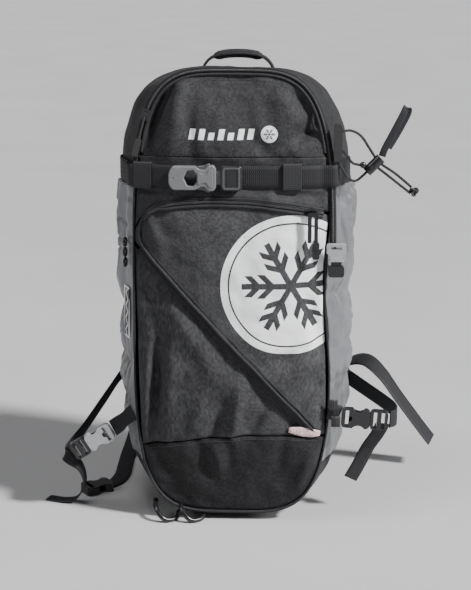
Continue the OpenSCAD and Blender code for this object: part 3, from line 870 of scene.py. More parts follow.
def on_line(level, lift=0.0, s0=-1.0, s1=1.0):
    """line of (x, z) across the front at the height level(s), s running from -1 at its left to 1"""
    """line of (x, z) across the front at a height that depends on s"""
    def at(t):
        s = mix(s0, s1, t)
        z = level(s) + lift
        return (s * (half_at(z) - EDGE), z)
    return at


def boot_low(t):
    p = rim(mix(-138, -42, t), 0, 2.2)
    return (p.x, p.z)


def make_front():
    cloth("boot_cloth", front_rows(boot_low, on_line(boot_z, -0.6)), "bag", CLOTH_BOOT_PAINTED_SHADE, ("boot_panel",),
          "cordura_black")
    diagonal = on_line(along_diagonal(-2.5, 2.0), 0, -1, 0.93)
    cloth("lower_left_cloth", front_rows(on_line(boot_z, 0.6, -1, 0.93), diagonal), "bag", CLOTH_LOWER,
          ("lower_left_panel",), "dobby_black")
    pocket_low = on_line(along_diagonal(2.0, 2.0))
    cloth("pocket_cloth", front_rows(pocket_low, on_line(pocket_top_z, -1.5)), "bag", CLOTH_POCKET_PAINTED_LIGHT,
          ("pocket_panel",), "cordura_grey")
    band_top = on_line(lambda _: HINGE_Z - 0.2)
    cloth("band_cloth", front_rows(on_line(pocket_top_z, 1.5), band_top, high_seam=False), "bag", CLOTH_BAND,
          ("front_band",), "cordura_grey")


# direction of the flap's lower right corner on the outline, degrees
DOME_START = 34.6


def dome_edge(t):
    p = rim(mix(180 - DOME_START, DOME_START, t), 0, 4.6)
    return (p.x, max(p.z, HINGE_Z + 4))


def dome_low(t):
    return (mix(dome_edge(0)[0], dome_edge(1)[0], t), HINGE_Z + 0.1)


def make_dome():
    cloth("dome_cloth", front_rows(dome_low, dome_edge, low_seam=False), "top_flap", CLOTH_DOME,
          ("dome_panel",), "cordura_grey")
    line = [Vector((x, smooth_front(x, z) - 1.2, z)) for x, z in (dome_edge(i / 90) for i in range(91))]
    piping("dome_edge_piping", line, 1.7, body="top_flap")
    inner = []
    for i in range(91):
        p = rim(mix(180 - DOME_START - 1, DOME_START + 1, i / 90), 0, 11)
        inner.append(front(p.x, p.z, 0.1))
    stitches("dome_stitches", inner, "top_flap")


# ---- sides, top, bottom and back


def wall(psi, v, lift):
    """point on the wall round the bag, lifted outward"""
    p = rim(psi, v)
    along = rim(psi + 0.4, v) - rim(psi - 0.4, v)
    deep = rim(psi, min(1, v + 0.01)) - rim(psi, max(0, v - 0.01))
    return nudge(p + deep.cross(along).normalized() * lift)


# crest or valley lines on the sides: start y, z, end y, z, half width, height
SIDE_FOLDS = [
    (-62, 402, -68, 326, 10, 5.5), (-30, 402, -22, 318, 12, 5.0), (-82, 394, -80, 350, 6, -3.0),
    (0, 398, 14, 328, 11, 4.5), (32, 396, 46, 316, 12, 4.0), (-46, 400, -45, 346, 7, -5.0),
    (-14, 398, -6, 336, 7, -4.5), (17, 394, 30, 326, 7, -4.0), (-86, 306, 8, 290, 13, 3.5),
    (-88, 270, 24, 258, 9, -5.5), (-86, 240, -12, 233, 12, 4.5), (-88, 208, 20, 196, 8, -5.0),
    (-88, 178, 0, 186, 14, 4.5), (-64, 150, 44, 160, 9, -4.5), (12, 304, 60, 238, 12, 4.0),
    (42, 282, 66, 178, 10, -4.0), (20, 228, 64, 214, 11, 3.5), (-86, 164, -62, 118, 8, 4.0),
    (-72, 152, -42, 106, 8, -4.0), (-20, 130, 30, 118, 10, 3.5), (-70, 338, -58, 306, 8, -3.5),
    (-84, 330, -76, 296, 6, 2.5), (-80, 224, -58, 204, 7, 2.5), (-40, 84, 20, 92, 12, 3.0),
]


def crease(p, tall, seed, sharp=0.085):
    """0 on flat cloth, 1 in a thin wandering valley; tall stretches the valleys upright"""
    n = rumple((p.x, p.y * tall, p.z / tall), 48, seed)
    here = clamp(0.55 + 1.6 * rumple(p, 55, seed + 5))
    return here * hump(n, sharp)


def side_lift(psi, v):
    """height of the side nylon's folds; they calm down at the seams, the strap and the label"""
    p = rim(psi, v)
    front_mm, back_mm = v * WALL_DEEP, (1 - v) * WALL_DEEP
    calm = 1 - math.exp(-min(front_mm, back_mm) / 9)
    shift = 0 if p.x > 0 else 19
    lift = 0.95 * sum(fold(p.y, p.z + shift, *f) for f in SIDE_FOLDS)
    lift += 2.4 * rumple(p, 60, 77) + 1.2 * rumple(p, 24, 61) + 0.5 * rumple(p, 10, 67)
    lift -= 3.4 * crease(p, 2.6, 31) + 2.8 * crease(p, 0.4, 37) + 0.9 * crease(p, 1.0, 41, 0.12)
    gather = 2.4 * math.exp(-front_mm / 16) * rumple((0, p.y * 0.5, p.z), 10, 79)
    strap = hump(p.z - STRAP_Z, 18) * clamp(1.4 - 2.2 * v)
    sewn_on = hump(p.z - 272, 76, 4) * hump(p.y + 68, 17, 4) if p.x < 0 else 0
    return (lift + gather) * calm * (1 - 0.9 * strap) * (1 - 0.85 * sewn_on) - 1.5 * strap


def calm_lift(psi, v):
    """height of the softer folds in the top and the bottom"""
    p = rim(psi, v)
    calm = 1 - math.exp(-min(v, 1 - v) * WALL_DEEP / 8)
    strap = hump(p.z - STRAP_Z, 18)
    lift = 2.4 * rumple(p, 50, 83) + 1.3 * rumple(p, 19, 87)
    return calm * lift * (1 - 0.9 * strap) - 1.2 * strap


def wall_rows(psi_a, psi_b, v_a, v_b, lift, step=2.4):
    """grid on the wall between two directions and two depths"""
    n = max(4, round(abs(psi_b - psi_a) * MM_PER_DEGREE / step))
    m = max(4, round((v_b - v_a) * WALL_DEEP / step))
    depths = [mix(v_a, v_b, j / m) for j in range(m + 1)]
    rows = []
    for i in range(n + 1):
        psi = mix(psi_a, psi_b, i / n)
        rows.append([wall(psi, v, lift(psi, v)) for v in depths])
    return rows


def make_walls():
    for word, start, end in (("right", -40.3, 26.6), ("left", 153.4, 220.3)):
        cloth(word + "_side_cloth", wall_rows(start, end, 0.010, 0.992, side_lift), "bag", NYLON,
              (word + "_side_panel",), "nylon_grey", 0.9)
    cloth("top_cloth", wall_rows(26.4, 153.6, 0.022, 0.992, calm_lift), "bag", CLOTH_DARK, ("top_gusset",),
          "cordura_grey")
    cloth("bottom_cloth", wall_rows(-139.7, -40.3, 0.010, 0.992, calm_lift), "bag", CLOTH_DARK,
          ("bottom_panel",), "cordura_black")


def make_back():
    rows = []
    for k in range(61):
        row = []
        for i in range(121):
            t = 1 - k / 60
            p = rim(i * 3, 1, 1.5)
            x, z = p.x * t, mid_z(1) + (p.z - mid_z(1)) * t
            row.append(Vector((x, BACK_DEPTH + 1.2 + 0.7 * rumple((x, 0, z), 30, 91), z)))
        rows.append(row)
    cloth("back_cloth", rows, "bag", CLOTH_DARK, ("back_panel",), "cordura_black")


def make_seams():
    """bound seams that close the bag, front and back"""
    front_line = [nudge(rim(-213 + 227 * i / 220, 0, 0.4) + Vector((0, -0.6, 0))) for i in range(221)]

    def thickness(t):
        return mix(1.3, 1.9, clamp(1 - abs(t - 0.54) / 0.3))
    piping("front_binding", front_line, thickness, 2.4, nodes=("base_piping",))
    back_line = [rim(-90 + 360 * i / 360, 1, 0.2) for i in range(361)]
    piping("back_binding", back_line, 2.2, 2.6)
    gusset = [rim(12 + 137 * i / 130, 0.028, -0.8) for i in range(131)]
    piping("gusset_piping", gusset, 1.6, 2.4)


make_front()
make_dome()
make_walls()
make_back()
make_seams()

# ---- zips


RIBBON_SECTION = ((1, 0), (0.9, 1), (0.4, 1), (0, 1), (-0.4, 1), (-0.9, 1), (-1, 0), (-0.9, -1), (0, -1),
                  (0.9, -1))


def ribbon(name, line, side, width, thick, body, material, nodes=(), arch=0.0):
    """thin flat strip with rounded rims; arch lifts its middle"""
    def section(i):
        half = (width(i / (len(line) - 1)) if callable(width) else width) / 2
        return [(a * half, thick / 2 * b + arch * (1 - a * a), a * half) for a, b in RIBBON_SECTION]
    return sweep(name, line, side, section, body, material, nodes)


def coil(name, line, radius, body, side, pitch=1.7):
    """zip coil: a tube with one rib for each tooth, flattened onto the tape"""
    line = even_line(line, pitch / 4)
    rings = []
    for i, (p, (w, n)) in enumerate(zip(line, frames_along(line, side))):
        swell = 1 + 0.28 * math.cos(TURN * i / 4)
        ring = []
        for k in range(10):
            a = TURN * k / 10
            split = 0.55 if k in (2, 3) else 1.0
            across = math.cos(a) * radius * 1.35 * swell
            up = math.sin(a) * radius * swell * split
            ring.append(p + w * across + n * up)
        rings.append(ring)
    return loft(name, rings, body, ZIP)


# directions of the arch zip's two ends on the outline, degrees
ARCH_START, ARCH_END = 14, 147


def radial(t):
    """outward direction in the plane of the front at one point of the arch"""
    psi = mix(ARCH_START, ARCH_END, t)
    a, b = rim(psi, 0, 10), rim(psi, 0, 0)
    return Vector((b.x - a.x, 0, b.z - a.z)).normalized()


def make_dome_zip():
    n = 180
    line = [rim(mix(ARCH_START, ARCH_END, i / n), 0, 0.2) - Vector((0, 2.2, 0)) for i in range(n + 1)]
    ribbon("dome_zip_tape", line, radial, 7, 1.0, "bag", TAPE, ("dome_zip",))
    coil("dome_zip_coil", [p - Vector((0, 0.8, 0)) for p in line], 1.0, "bag", radial)


def across_front(level, lift, s0, s1, n=90):
    """line on the folded front at the height level(s)"""
    result = []
    for i in range(n + 1):
        s = mix(s0, s1, i / n)
        z = level(s)
        result.append(front(edge_x(s, z), z, lift))
    return result


def make_pocket_zip():
    line = across_front(pocket_top_z, 1.4, -0.93, 0.97)
    ribbon("pocket_zip_tape", line, (0, 0, 1), 7, 1.0, "bag", TAPE, ("pocket_zip",))
    coil("pocket_zip_coil", [p - Vector((0, 0.9, 0)) for p in line], 1.0, "bag", (0, 0, 1))
    upper = across_front(lambda s: pocket_top_z(s) + 4.2, 1.2, -0.95, 0.97)
    piping("pocket_zip_rim", upper, 1.4)


def make_diagonal():
    """piping from the pocket's right corner, over the top, down its left side and along the diagonal"""
    top = across_front(lambda s: pocket_top_z(s) - 4.0, 1.6, 0.96, -0.68, 60)
    corner = ((-85, 371), (-96, 366), (-104, 357), (-107, 346), (-106, 335), (-101, 326))
    left = [front(x, z, 1.6) for x, z in corner]
    down = across_front(along_diagonal(3.0, 2.0), 1.6, -0.84, 0.93, 60)
    line = smooth_line([top[i] for i in range(0, 61, 4)] + left + [down[i] for i in range(0, 61, 4)], 5)
    piping("pocket_piping", line, 1.9)
    lower = across_front(along_diagonal(-5.0, 1.0), 1.5, -0.97, 0.88, 60)
    piping("diagonal_welt_low", lower, 1.7)
    middle = across_front(along_diagonal(-1.0, 1.6), 0.8, -0.97, 0.9, 60)
    ribbon("diagonal_welt_tape", middle, (0.7, 0, 0.7), 7.5, 1.2, "bag", TAPE, ("diagonal_welt",),
           0.5)
    outer = across_front(lambda s: diagonal_z(s) + 9.5, 0.1, -0.97, 0.80, 90)
    stitches("diagonal_stitches", outer, "bag")
    boot = across_front(lambda s: boot_z(s) - 4.2, 0.1, -0.95, 0.95, 90)
    stitches("boot_stitches", boot, "bag")


make_dome_zip()
make_pocket_zip()
make_diagonal()

# ---- straps and loops


def on_wall(sign, z, v, lift):
    """point beside the left (-1) or right (1) wall at height z and depth v"""
    return Vector((sign * (half_at(z, v) + lift), mix(seam_y(z), BACK_DEPTH, v), z))


def strap_y(x):
    return min(smooth_front(x, STRAP_Z - 14) - 1.4, seam_y(STRAP_Z) - 5.6 - 0.04 * (108 - abs(x)))


def front_strap(name, x_a, sign, node):
    line = [Vector((sign * x, strap_y(x), STRAP_Z)) for x in range(x_a, 108, 8)]
    line.append(Vector((sign * 115.5, seam_y(STRAP_Z) - 6, STRAP_Z)))
    line.append(Vector((sign * 121, seam_y(STRAP_Z) + 2.5, STRAP_Z)))
    for v, lift in ((0.12, 2.2), (0.20, 2.2), (0.28, 2.0), (0.36, 1.2), (0.44, -1.4)):
        line.append(on_wall(sign, STRAP_Z, v, lift))
    webbing(name, line, (0, 0, 1), 25, 1.6, "bag", WEBBING, (node,))


def keeper(name, x):
    """elastic loop round the strap"""
    y = strap_y(x) - 0.6
    turn = math.atan2(strap_y(x + 9) - strap_y(x - 9), 18)
    c, s = math.cos(turn), math.sin(turn)
    rings, uvs = [], []
    for i in range(41):
        along = -10.5 + 21 * i / 40
        rib = 0.12 * math.cos(TURN * along / 1.9)
        ring = []
        for k in range(36):
            a = TURN * k / 36
            flat, tall = squared(a, 0.28)
            dy, dz = flat * (2.5 + rib), tall * 14.8
            ring.append(Vector((x + c * along - s * dy, y + s * along + c * dy, STRAP_Z + dz)))
            uvs.append((dz * MM, along * MM))
        rings.append(ring)
    points = [p for ring in rings for p in ring]
    piece = add_piece(name, points, grid_faces(41, 36, closed=True), "bag", ELASTIC, ("strap_keepers",), uvs)
    thicken(piece, 0.7, 0)


def plate_piece(name, loops, y, thick, edge, body, material, nodes=()):
    """flat moulding with rounded edges, cut from an outline and holes of (x, z) points, middle at depth y"""
    data = bpy.data.curves.new(name, "CURVE")
    data.dimensions = "2D"
    data.fill_mode = "BOTH"
    data.extrude = (thick / 2 - edge) * MM
    data.bevel_depth = edge * MM
    data.bevel_resolution = 2
    for loop in loops:
        spline = data.splines.new("POLY")
        spline.points.add(len(loop) - 1)
        for point, (x, z) in zip(spline.points, loop):
            point.co = (x * MM, z * MM, 0, 1)
        spline.use_cyclic_u = True
    outline = link_new(name + "_outline", data)
    mesh = bpy.data.meshes.new_from_object(outline.evaluated_get(bpy.context.evaluated_depsgraph_get()))
    bpy.data.objects.remove(outline)
    points = [(v.co.x / MM, y + v.co.z / MM, v.co.y / MM) for v in mesh.vertices]
    faces = [tuple(reversed(f.vertices)) for f in mesh.polygons]
    piece = add_piece(name, points, faces, body, material, nodes, smooth=False)
    weld = piece.modifiers.new("join_rims", "WELD")
    weld.merge_threshold = 0.00002
    return piece


def rounded(points, radius, steps=5):
    """outline through the corners, each corner rounded by an arc-like curve"""
    result = []
    for i, here in enumerate(points):
        here = Vector(here)
        before, after = Vector(points[i - 1]), Vector(points[(i + 1) % len(points)])
        cut = min(radius, (before - here).length * 0.45, (after - here).length * 0.45)
        a = here + (before - here).normalized() * cut
        b = here + (after - here).normalized() * cut
        for k in range(steps + 1):
            t = k / steps
            result.append(tuple(a.lerp(here, t).lerp(here.lerp(b, t), t)))
    return result


def both_sides(half):
    """closed outline from its upper half, mirrored about z = 0"""
    return half + [(x, -z) for x, z in reversed(half)]


def moved(loop, x, z):
    return [(px + x, pz + z) for px, pz in loop]


# left end and depth of the front buckle
BUCKLE_X, BUCKLE_Y = -71.5, smooth_front(0, STRAP_Z - 14) - 7.8


def make_front_buckle():
    """socket on the left: round end with a hole, window, waisted body; plug on the right"""
    def at(loop, radius=1.6):
        return moved(rounded(loop, radius), BUCKLE_X, STRAP_Z)
    waisted = [(1.5, 6), (5, 12), (30, 12), (35, 8.6), (41, 8.0), (45, 12.8), (50, 13.2), (52, 10)]
    body = at(both_sides(waisted), 3)
    window = at([(15.5, 0), (20, 9.6), (28.5, 10.8), (33.5, 4.5), (33.5, -4.5), (28.5, -10.8), (20, -9.6)])
    hole = moved([(1.7 * math.cos(a / 8 * math.pi), 1.7 * math.sin(a / 8 * math.pi)) for a in range(16)],
                 BUCKLE_X + 5, STRAP_Z)
    # the socket and its crest are in the mid grey copy of the acetal: painted sheen
    plate_piece("front_socket", [body, window, hole], BUCKLE_Y, 10, 1.5, "bag", ACETAL_MID_PAINTED_SHEEN,
                ("front_buckle_female",))
    waist = at(both_sides([(33.5, 6.5), (36, 6), (38.5, 4.2), (43, 4.2), (46, 9.6), (49.5, 9.6)]), 1.5)
    plate_piece("front_socket_crest", [waist], BUCKLE_Y - 5.1, 1.6, 0.5, "bag", ACETAL_MID_PAINTED_SHEEN)
    tongue = at(both_sides([(49, 6.4), (64, 6.4)]), 1)
    plate_piece("front_plug_tongue", [tongue], BUCKLE_Y + 0.5, 5, 1.0, "front_buckle_plug", ACETAL_DARK_PAINTED_SHEEN)
    block = at(both_sides([(60, 10), (62, 13), (79, 13), (81, 11)]), 2)
    slot_left = at(both_sides([(64.4, 10.2), (66.4, 10.2)]), 0.8)
    slot_right = at(both_sides([(76, 10.2), (78, 10.2)]), 0.8)
    plate_piece("front_plug", [block, slot_left, slot_right], BUCKLE_Y, 9, 1.4, "front_buckle_plug", ACETAL,
                ("front_buckle_male",))
    # the plug's raised rim is a separate ring in the dark grey copy, lighter than the block: painted
    # highlight along the plug's edges
    rim_out = at(both_sides([(61, 9.6), (62.6, 12.2), (78.6, 12.2), (80.2, 10.4)]), 2)
    rim_in = at(both_sides([(62.6, 9.2), (63.4, 10.8), (77.6, 10.8), (78.6, 9.6)]), 1.6)
    plate_piece("front_plug_rim", [rim_out, rim_in], BUCKLE_Y - 4.5, 1.4, 0.4, "front_buckle_plug", ACETAL_DARK_PAINTED_SHEEN)
    # the socket's arms are in the same dark grey copy of the acetal: painted sheen
    arm = [(33, 10.6), (40, 10.2), (44, 12.2), (46, 15.2), (44.6, 15.6), (40, 13.2), (33, 12.6)]
    for sign, word in ((1, "upper"), (-1, "lower")):
        side = [(x, sign * z) for x, z in arm][::sign]
        plate_piece("front_arm_" + word, [at(side, 0.8)], BUCKLE_Y, 5, 0.8, "buckle_arm_" + word, ACETAL_DARK_PAINTED_SHEEN,
                    ("buckle_arm_" + word,))


def make_front_strap():
    front_strap("front_webbing_right", 6, 1, "front_strap_right")
    front_strap("front_webbing_left", 66, -1, "front_strap_left")
    keeper("keeper_left", -102)
    keeper("keeper_right", 67)
    make_front_buckle()


def make_loops():
    for k, x in enumerate((-92, -62)):
        path = [(x, -86, 20), (x + 2, -101, 15), (x + 8, -108, 8), (x + 16, -108, 3), (x + 26, -100, 3),
                (x + 28, -90, 7)]
        tube("ski_loop_%d" % k, even_line(smooth_line(path, 8), 1.5), 3.0, "bag", ACETAL, ("ski_loops",))
    dress("daisy_loops", ACETAL, 0)


def make_label():
    depths = [mix(0.165, 0.06, j / 12) for j in range(13)]
    rows = [[on_wall(-1, 216 + 2.5 * k, v, 2.2) for v in depths] for k in range(25)]
    cloth("woven_label", rows, "bag", LABEL, ("label_patch",), "patch_white", 0.8)


LEFT_FRONT = [(-117, -84, 128), (-124, -82, 122), (-132, -80, 114), (-142, -78, 106)]
LEFT_REAR = [(-136, 52, 142), (-146, 30, 136), (-158, 0, 122), (-182, -42, 92), (-200, -66, 72),
             (-196, -72, 66), (-184, -64, 52), (-180, -58, 30), (-190, -52, 8), (-206, -48, 2.2),
             (-228, -40, 1.6)]
RIGHT_FRONT = [(112, -98, 138), (118, -97, 136), (125, -95, 133)]
RIGHT_REAR = [(184, -86, 124), (192, -70, 122), (192, -40, 120), (180, -5, 120), (160, 30, 124),
              (138, 56, 132)]
RIGHT_TAIL = [(176, -78, 116), (170, -70, 100), (160, -60, 80), (150, -58, 58), (140, -60, 40)]


def turning(first, second, start, end):
    """width direction that changes along a strap"""
    a, b = Vector(first), Vector(second)
    return lambda t: a.lerp(b, clamp((t - start) / (end - start)))


def strap_wing(name, seam, end, tall_seam, tall_end):
    """cloth tab that ties the rear end of a strap to the back seam"""
    rows = []
    for i in range(13):
        middle = Vector(seam).lerp(Vector(end), i / 12)
        half = mix(tall_seam, tall_end, i / 12) / 2
        rows.append([middle + Vector((0, 0, half * (j / 6 - 1))) for j in range(13)])
    cloth(name, rows, "bag", CLOTH_DARK, (), "cordura_black", 2.6)


def make_side_straps():
    webbing("left_webbing_front", LEFT_FRONT, (0.55, 0, 0.8), 20, 1.6, "bag", WEBBING, ("left_strap",))
    webbing("left_webbing_rear", LEFT_REAR, turning((0.2, 0.1, 0.9), (0.1, 1, 0), 0.55, 0.75), 15, 1.6, "bag",
            WEBBING, ("left_strap",))
    webbing("right_webbing_front", RIGHT_FRONT, (0, 0, 1), 20, 1.6, "bag", WEBBING, ("right_strap",))
    webbing("right_webbing_rear", RIGHT_REAR, (0, 0, 1), 20, 1.6, "bag", WEBBING, ("right_strap",))
    webbing("right_webbing_tail", RIGHT_TAIL, (0.85, 0.3, -0.3), 18, 1.6, "bag", WEBBING, ("right_strap",))
    strap_wing("left_strap_wing", (-121, 77, 140), (-139, 49, 141), 44, 20)
    strap_wing("right_strap_wing", (121, 77, 127), (141, 52, 131), 46, 25)
    # female halves in the light grey copy of the acetal and males in black: painted highlight on the female
    # halves
    for name in ("left_buckle_female", "side_clip_female"):
        dress(name, ACETAL_PAINTED_HIGHLIGHT, 0.7, 4)
    for name in ("left_buckle_male", "right_buckle_female", "right_buckle_male", "side_clip_male"):
        dress(name, ACETAL, 0.7, 4)


make_front_strap()
make_loops()
make_label()
make_side_straps()


def make_zip_garage():
    line = [front(x, 117.5 - (x - 66) / 6, 2.6) for x in range(66, 103, 3)]

    def leaf(t):
        return 4 + 7.5 * math.sin(math.pi * (0.1 + 0.8 * t))
    ribbon("zip_garage_tape_sewn", line, (0, 0, 1), leaf, 1.2, "bag", TAPE_PINK, ("zip_garage_tape",),
           0.6)


make_zip_garage()
for part in ("dome_slider", "pocket_slider", "pocket_pull"):
    dress(part, DARK_STEEL, 0.35)
dress("dome_pull", RUBBER, 0.35)

# ---- harness


def make_handle():
    path = [(-44, 84, 506), (-41, 84, 517), (-31, 84, 527), (-12, 84, 531), (12, 84, 531), (31, 84, 527),
            (41, 84, 517), (44, 84, 506)]
    webbing("grab_handle_webbing", path, (0, 1, 0), 17, 3.2, "grab_handle", WEBBING, ("grab_handle",))
    grip = even_line(smooth_line(path[2:6], 8), 1.2)

    def round_grip(t):
        return 5.4 * min(1, 3 * math.sqrt(max(0.0, t * (1 - t)))) + 0.12 * math.cos(160 * t)
    tube("grab_handle_sleeve", grip, round_grip, "grab_handle", CLOTH_DARK, sides=16)
    for sign, word in SIDES:
        foot = smooth_line([(sign * 44, 84, 507), (sign * 44, 81, 492), (sign * 44, 77, 474)], 6)
        ribbon("handle_foot_" + word, foot, (0, 1, 0), lambda t: mix(17, 4, t), 3.4, "bag", WEBBING)


SHOULDER_PATH = [(42, 98, 462), (50, 108, 440), (62, 112, 390), (74, 110, 320), (80, 106, 260),
                 (82, 104, 218)]
WING_PATH = [(88, 100, 108), (104, 112, 108), (118, 127, 106), (128, 149, 104)]


def pillow(line, side, width, thick):
    """flat rounded loft used as the start of a stuffed pad"""
    rings = []
    last = len(line) - 1
    for i, (p, (w, n)) in enumerate(zip(line, frames_along(line, side))):
        end = min(1.0, (1 - abs(2 * i / last - 1)) * last / 5 + 0.35)
        ring = []
        for k in range(28):
            a = TURN * k / 28
            x = squared(a, 0.5)[0] * width / 2 * min(1, end ** 0.4)
            y = squared(a, 0.7)[1] * thick / 2 * end
            ring.append(p + w * x + n * y)
        rings.append(ring)
    return rings


STUFF_FRAMES = 20


def stuff(piece, cap, voxel=5.0):
    """swells a closed pad under pressure, no point moving further than cap millimetres"""
    mesh_mod = piece.modifiers.new("even_mesh", "REMESH")
    mesh_mod.mode = "VOXEL"
    mesh_mod.voxel_size = voxel * MM
    settle(piece)
    start = [v.co.copy() for v in piece.data.vertices]
    sim = piece.modifiers.new("stuffing", "CLOTH")
    sim.settings.use_pressure = True
    sim.settings.uniform_pressure_force = 4
    sim.settings.effector_weights.gravity = 0
    sim.point_cache.frame_start = 1
    sim.point_cache.frame_end = STUFF_FRAMES
    for step in range(1, STUFF_FRAMES + 1):
        bpy.context.scene.frame_set(step)
    settle(piece)
    bpy.context.scene.frame_set(1)
    for v, home in zip(piece.data.vertices, start):
        move = v.co - home
        if move.length > cap * MM:
            v.co = home + move.normalized() * cap * MM
    smooth_mod = piece.modifiers.new("smoothing", "SUBSURF")
    smooth_mod.levels = 1
    smooth_mod.render_levels = 1
    piece.data.polygons.foreach_set("use_smooth", [True] * len(piece.data.polygons))


def settle(piece):
    """replaces the mesh by what its modifiers make of it"""
    graph = bpy.context.evaluated_depsgraph_get()
    mesh = bpy.data.meshes.new_from_object(piece.evaluated_get(graph))
    piece.modifiers.clear()
    piece.data = mesh


def pad(name, line, side, width, thick, body, nodes, cap=3.0):
    piece = loft(name, pillow(line, side, width, thick), body, MESH, nodes, None)
    stuff(piece, cap)


def mirrored(points, sign):
    return [Vector((sign * p[0], p[1], p[2])) for p in points]


def make_shoulder(sign, word):
    body = "shoulder_" + word
    line = even_line(smooth_line(mirrored(SHOULDER_PATH, sign), 8), 8)
    pad(body + "_pad", line, (1, 0, 0.1 * sign), 60, 9, body, (body,))
    tail = mirrored([(82, 106, 222), (83, 104.5, 204), (84, 104, 194), (94, 100, 177), (108, 94, 160)], sign)
    webbing(body + "_webbing", tail, (1, 0, 0.4 * sign), 20, 1.6, body, WEBBING, (body,))
    anchor = smooth_line(mirrored([(39, 79, 488), (40, 88, 483), (41, 98, 475), (42, 102, 464)], sign), 6)
    ribbon(body + "_anchor", anchor, (1, 0, 0), lambda t: mix(60, 54, t), 3.0, "bag", CLOTH_DARK)
    tab = smooth_line(mirrored([(108, 79, 142), (108, 86, 152), (104, 95, 165)], sign), 6)
    ribbon(body + "_tab", tab, (1, 0, 0.5 * sign), lambda t: mix(30, 22, t), 3.0, "bag", CLOTH_DARK)


def make_wing(sign, word):
    body = "hip_wing_" + word
    line = even_line(smooth_line(mirrored(WING_PATH, sign), 8), 7)
    pad(body + "_pad", line, (0, 0, 1), 84, 10, body, (body,))


HIP_LEFT_RUN = [(-128, 153, 108), (-131, 155, 60), (-140, 140, 20), (-146, 110, 3), (-146, 70, 2),
                (-146, 40, 2), (-152, 14, 2), (-169, -7, 2)]
HIP_RIGHT_RUN = [(131, 155, 106), (146, 148, 124), (166, 128, 131), (186, 110, 118), (206, 101, 92),
                 (236, 97, 52), (250, 96, 34)]


def make_hip_belt():
    for sign, word in SIDES:
        make_wing(sign, word)
    webbing("hip_webbing_left", HIP_LEFT_RUN, turning((0.45, -0.89, 0), (1, 0, 0), 0.0, 0.43), 20, 1.6,
            "hip_wing_left", WEBBING, ("hip_wing_left",))
    webbing("hip_webbing_right", HIP_RIGHT_RUN, (0.3, 0.9, 0.3), 25, 1.6, "hip_wing_right", WEBBING,
            ("hip_wing_right",))


def pad_piping(name, cx, cz, wide, tall):
    """piping sewn round one pad of the back panel"""
    ring = []
    for k in range(81):
        a = TURN * k / 80
        x, z = squared(a, 0.3)
        ring.append(Vector((cx + x * wide / 2, BACK_DEPTH + 2.4, cz + z * tall / 2)))
    piping(name, ring, 1.5, 2.4)


def make_back_pads():
    for sign, word in SIDES:
        line = [Vector((sign * 52, 85, z)) for z in range(166, 405, 8)]
        pad("back_pad_" + word, line, (1, 0, 0), 74, 8.5, "bag", ("back_pads",))
        pad_piping("back_pad_piping_" + word, sign * 52, 284, 86, 258)
    line = [Vector((x, 86, 110)) for x in range(-80, 81, 8)]
    pad("lumbar_pad_stuffed", line, (0, 0, 1), 74, 10, "bag", ("lumbar_pad",))
    pad_piping("lumbar_pad_piping", 0, 110, 178, 86)


def copy_part(name, node, middle, place, turn, size, body, material, stands_for, flat=False):
    """a second moulding of the same pattern as a CAD part, turned about Z and set down elsewhere"""
    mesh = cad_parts[node].data.copy()
    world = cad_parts[node].matrix_world
    c, s = math.cos(math.radians(turn)), math.sin(math.radians(turn))
    points = []
    for v in mesh.vertices:
        q = (world @ v.co) / MM - Vector(middle)
        if flat:
            q = Vector((q.x, -q.z, q.y))
        points.append(Vector((c * q.x - s * q.y, s * q.x + c * q.y, q.z)) * size + Vector(place))
    faces = [tuple(f.vertices) for f in mesh.polygons]
    piece = add_piece(name, points, faces, body, material, stands_for, smooth=False)
    bevel(piece, 0.6, 3)


BAR_SECTION = ((1, 0.5), (0.5, 1), (-0.5, 1), (-1, 0.5), (-1, -0.5), (-0.5, -1), (0.5, -1), (1, -0.5))


def ladder(name, centre, wide, tall, bar, gaps, body, stands_for):
    """webbing slider: a rounded frame of moulded bar with cross bars at the given heights"""
    cx, cy, cz = centre
    points, faces = [], []

    def bar_along(line, closed):
        rings = []
        for i, p in enumerate(line):
            ahead = line[(i + 1) % len(line)] if closed else line[min(i + 1, len(line) - 1)]
            behind = line[i - 1] if closed else line[max(i - 1, 0)]
            heading = (ahead - behind).normalized()
            inward = heading.cross(Vector((0, 1, 0))).normalized()
            rings.append([p + inward * bar / 2 * a + Vector((0, bar * 0.75 * b, 0)) for a, b in BAR_SECTION])
        base = len(points)
        for ring in rings:
            points.extend(ring)
        n = len(rings)
        for i in range(n if closed else n - 1):
            for j in range(8):
                a, b = base + i * 8, base + (i + 1) % n * 8
                faces.append((a + j, a + (j + 1) % 8, b + (j + 1) % 8, b + j))
        if not closed:
            faces.append(tuple(base + j for j in reversed(range(8))))
            faces.append(tuple(base + (n - 1) * 8 + j for j in range(8)))
    outline = []
    for k in range(32):
        a = TURN * k / 32
        x, z = squared(a, 0.35)
        outline.append(Vector((cx + x * (wide - bar) / 2, cy, cz + z * (tall - bar) / 2)))
    bar_along(outline, True)
    for gap in gaps:
        bar_along([Vector((cx + (wide - bar) / 2 * t, cy - 0.6, cz + gap)) for t in (-1, -0.5, 0, 0.5, 1)],
                  False)
    add_piece(name, points, faces, body, ACETAL, stands_for)


# middle of the right side buckle in the CAD, the pattern of the copied buckles
CLIP_MIDDLE = (127, -93, 129)


STERNUM_Z = 352


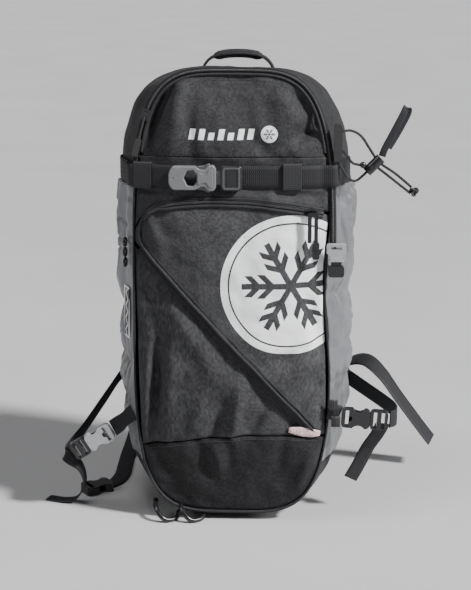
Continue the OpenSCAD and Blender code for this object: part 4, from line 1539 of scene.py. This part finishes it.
def make_sternum():
    across = [(-75, 121, STERNUM_Z), (-30, 121.3, STERNUM_Z), (30, 121.3, STERNUM_Z), (75, 121, STERNUM_Z)]
    webbing("sternum_webbing", across, (0, 0, 1), 20, 1.6, "sternum_strap", WEBBING, ("sternum_strap",))
    for half, pattern in (("socket", "female"), ("plug", "male")):
        copy_part("sternum_buckle_" + half, "right_buckle_" + pattern, CLIP_MIDDLE,
                  (-12, 125, STERNUM_Z), 180, 0.92, "sternum_strap", ACETAL, ("sternum_strap",))
    for sign, word in SIDES:
        ladder("sternum_slider_" + word, (72 * sign, 121.5, STERNUM_Z), 13, 28, 3, (), "sternum_strap",
               ("sternum_strap",))
        ladder("shoulder_adjuster_" + word, (82 * sign, 104.5, 204), 32, 19, 3, (-2, 3.5), "shoulder_" + word,
               ("shoulder_" + word,))
    copy_part("hip_buckle_socket", "right_buckle_female", CLIP_MIDDLE, (-186, -24, 6), 32, 1.1,
              "hip_wing_left", ACETAL, ("hip_wing_left",), flat=True)


def make_keepers():
    for k in (0, 1):
        x, z = 117 + 3 * k, 146 - 20 * k
        line = [(x - 5, -101.2, z), (x, -101.8, z), (x + 5, -101.2, z)]
        webbing("ribbed_keeper_%d" % k, line, (0, 0, 1), 13, 2.4, "bag", RUBBER, ("right_strap",),
                rib=1.9, relief=0.5)


make_handle()
for sign, word in SIDES:
    make_shoulder(sign, word)
make_hip_belt()
make_back_pads()
make_sternum()
make_keepers()

# ---- inside

dress("frame_sheet", SHEET, 0.3)
dress("frame_stays", ALUMINIUM, 0.4)
dress("base_panel", RUBBER, 1.0)


def inner_sheet(name, node, y, low, wide, tall, sag):
    """cloth wall sewn in at its top and sides; it sags a little between its seams"""
    rows = []
    for k in range(41):
        t = k / 40
        row = []
        for j in range(31):
            a = 2 * j / 30 - 1
            x = a * wide / 2 * (1 - 0.03 * math.sin(math.pi * t))
            lift = sag * (1 - a * a) * math.sin(math.pi * t) + 0.8 * rumple((x, 0, low + tall * t), 30, 44)
            row.append(Vector((x, y - lift, low + tall * t)))
        rows.append(row)
    piece = cloth(name, rows, "bag", LINING, (node,), "lining_grey", 0.6)


inner_sheet("divider_cloth", "inner_divider", 50, 36, 190, 398, 5)
inner_sheet("sleeve_cloth", "water_sleeve", 56.5, 66, 176, 298, 2)
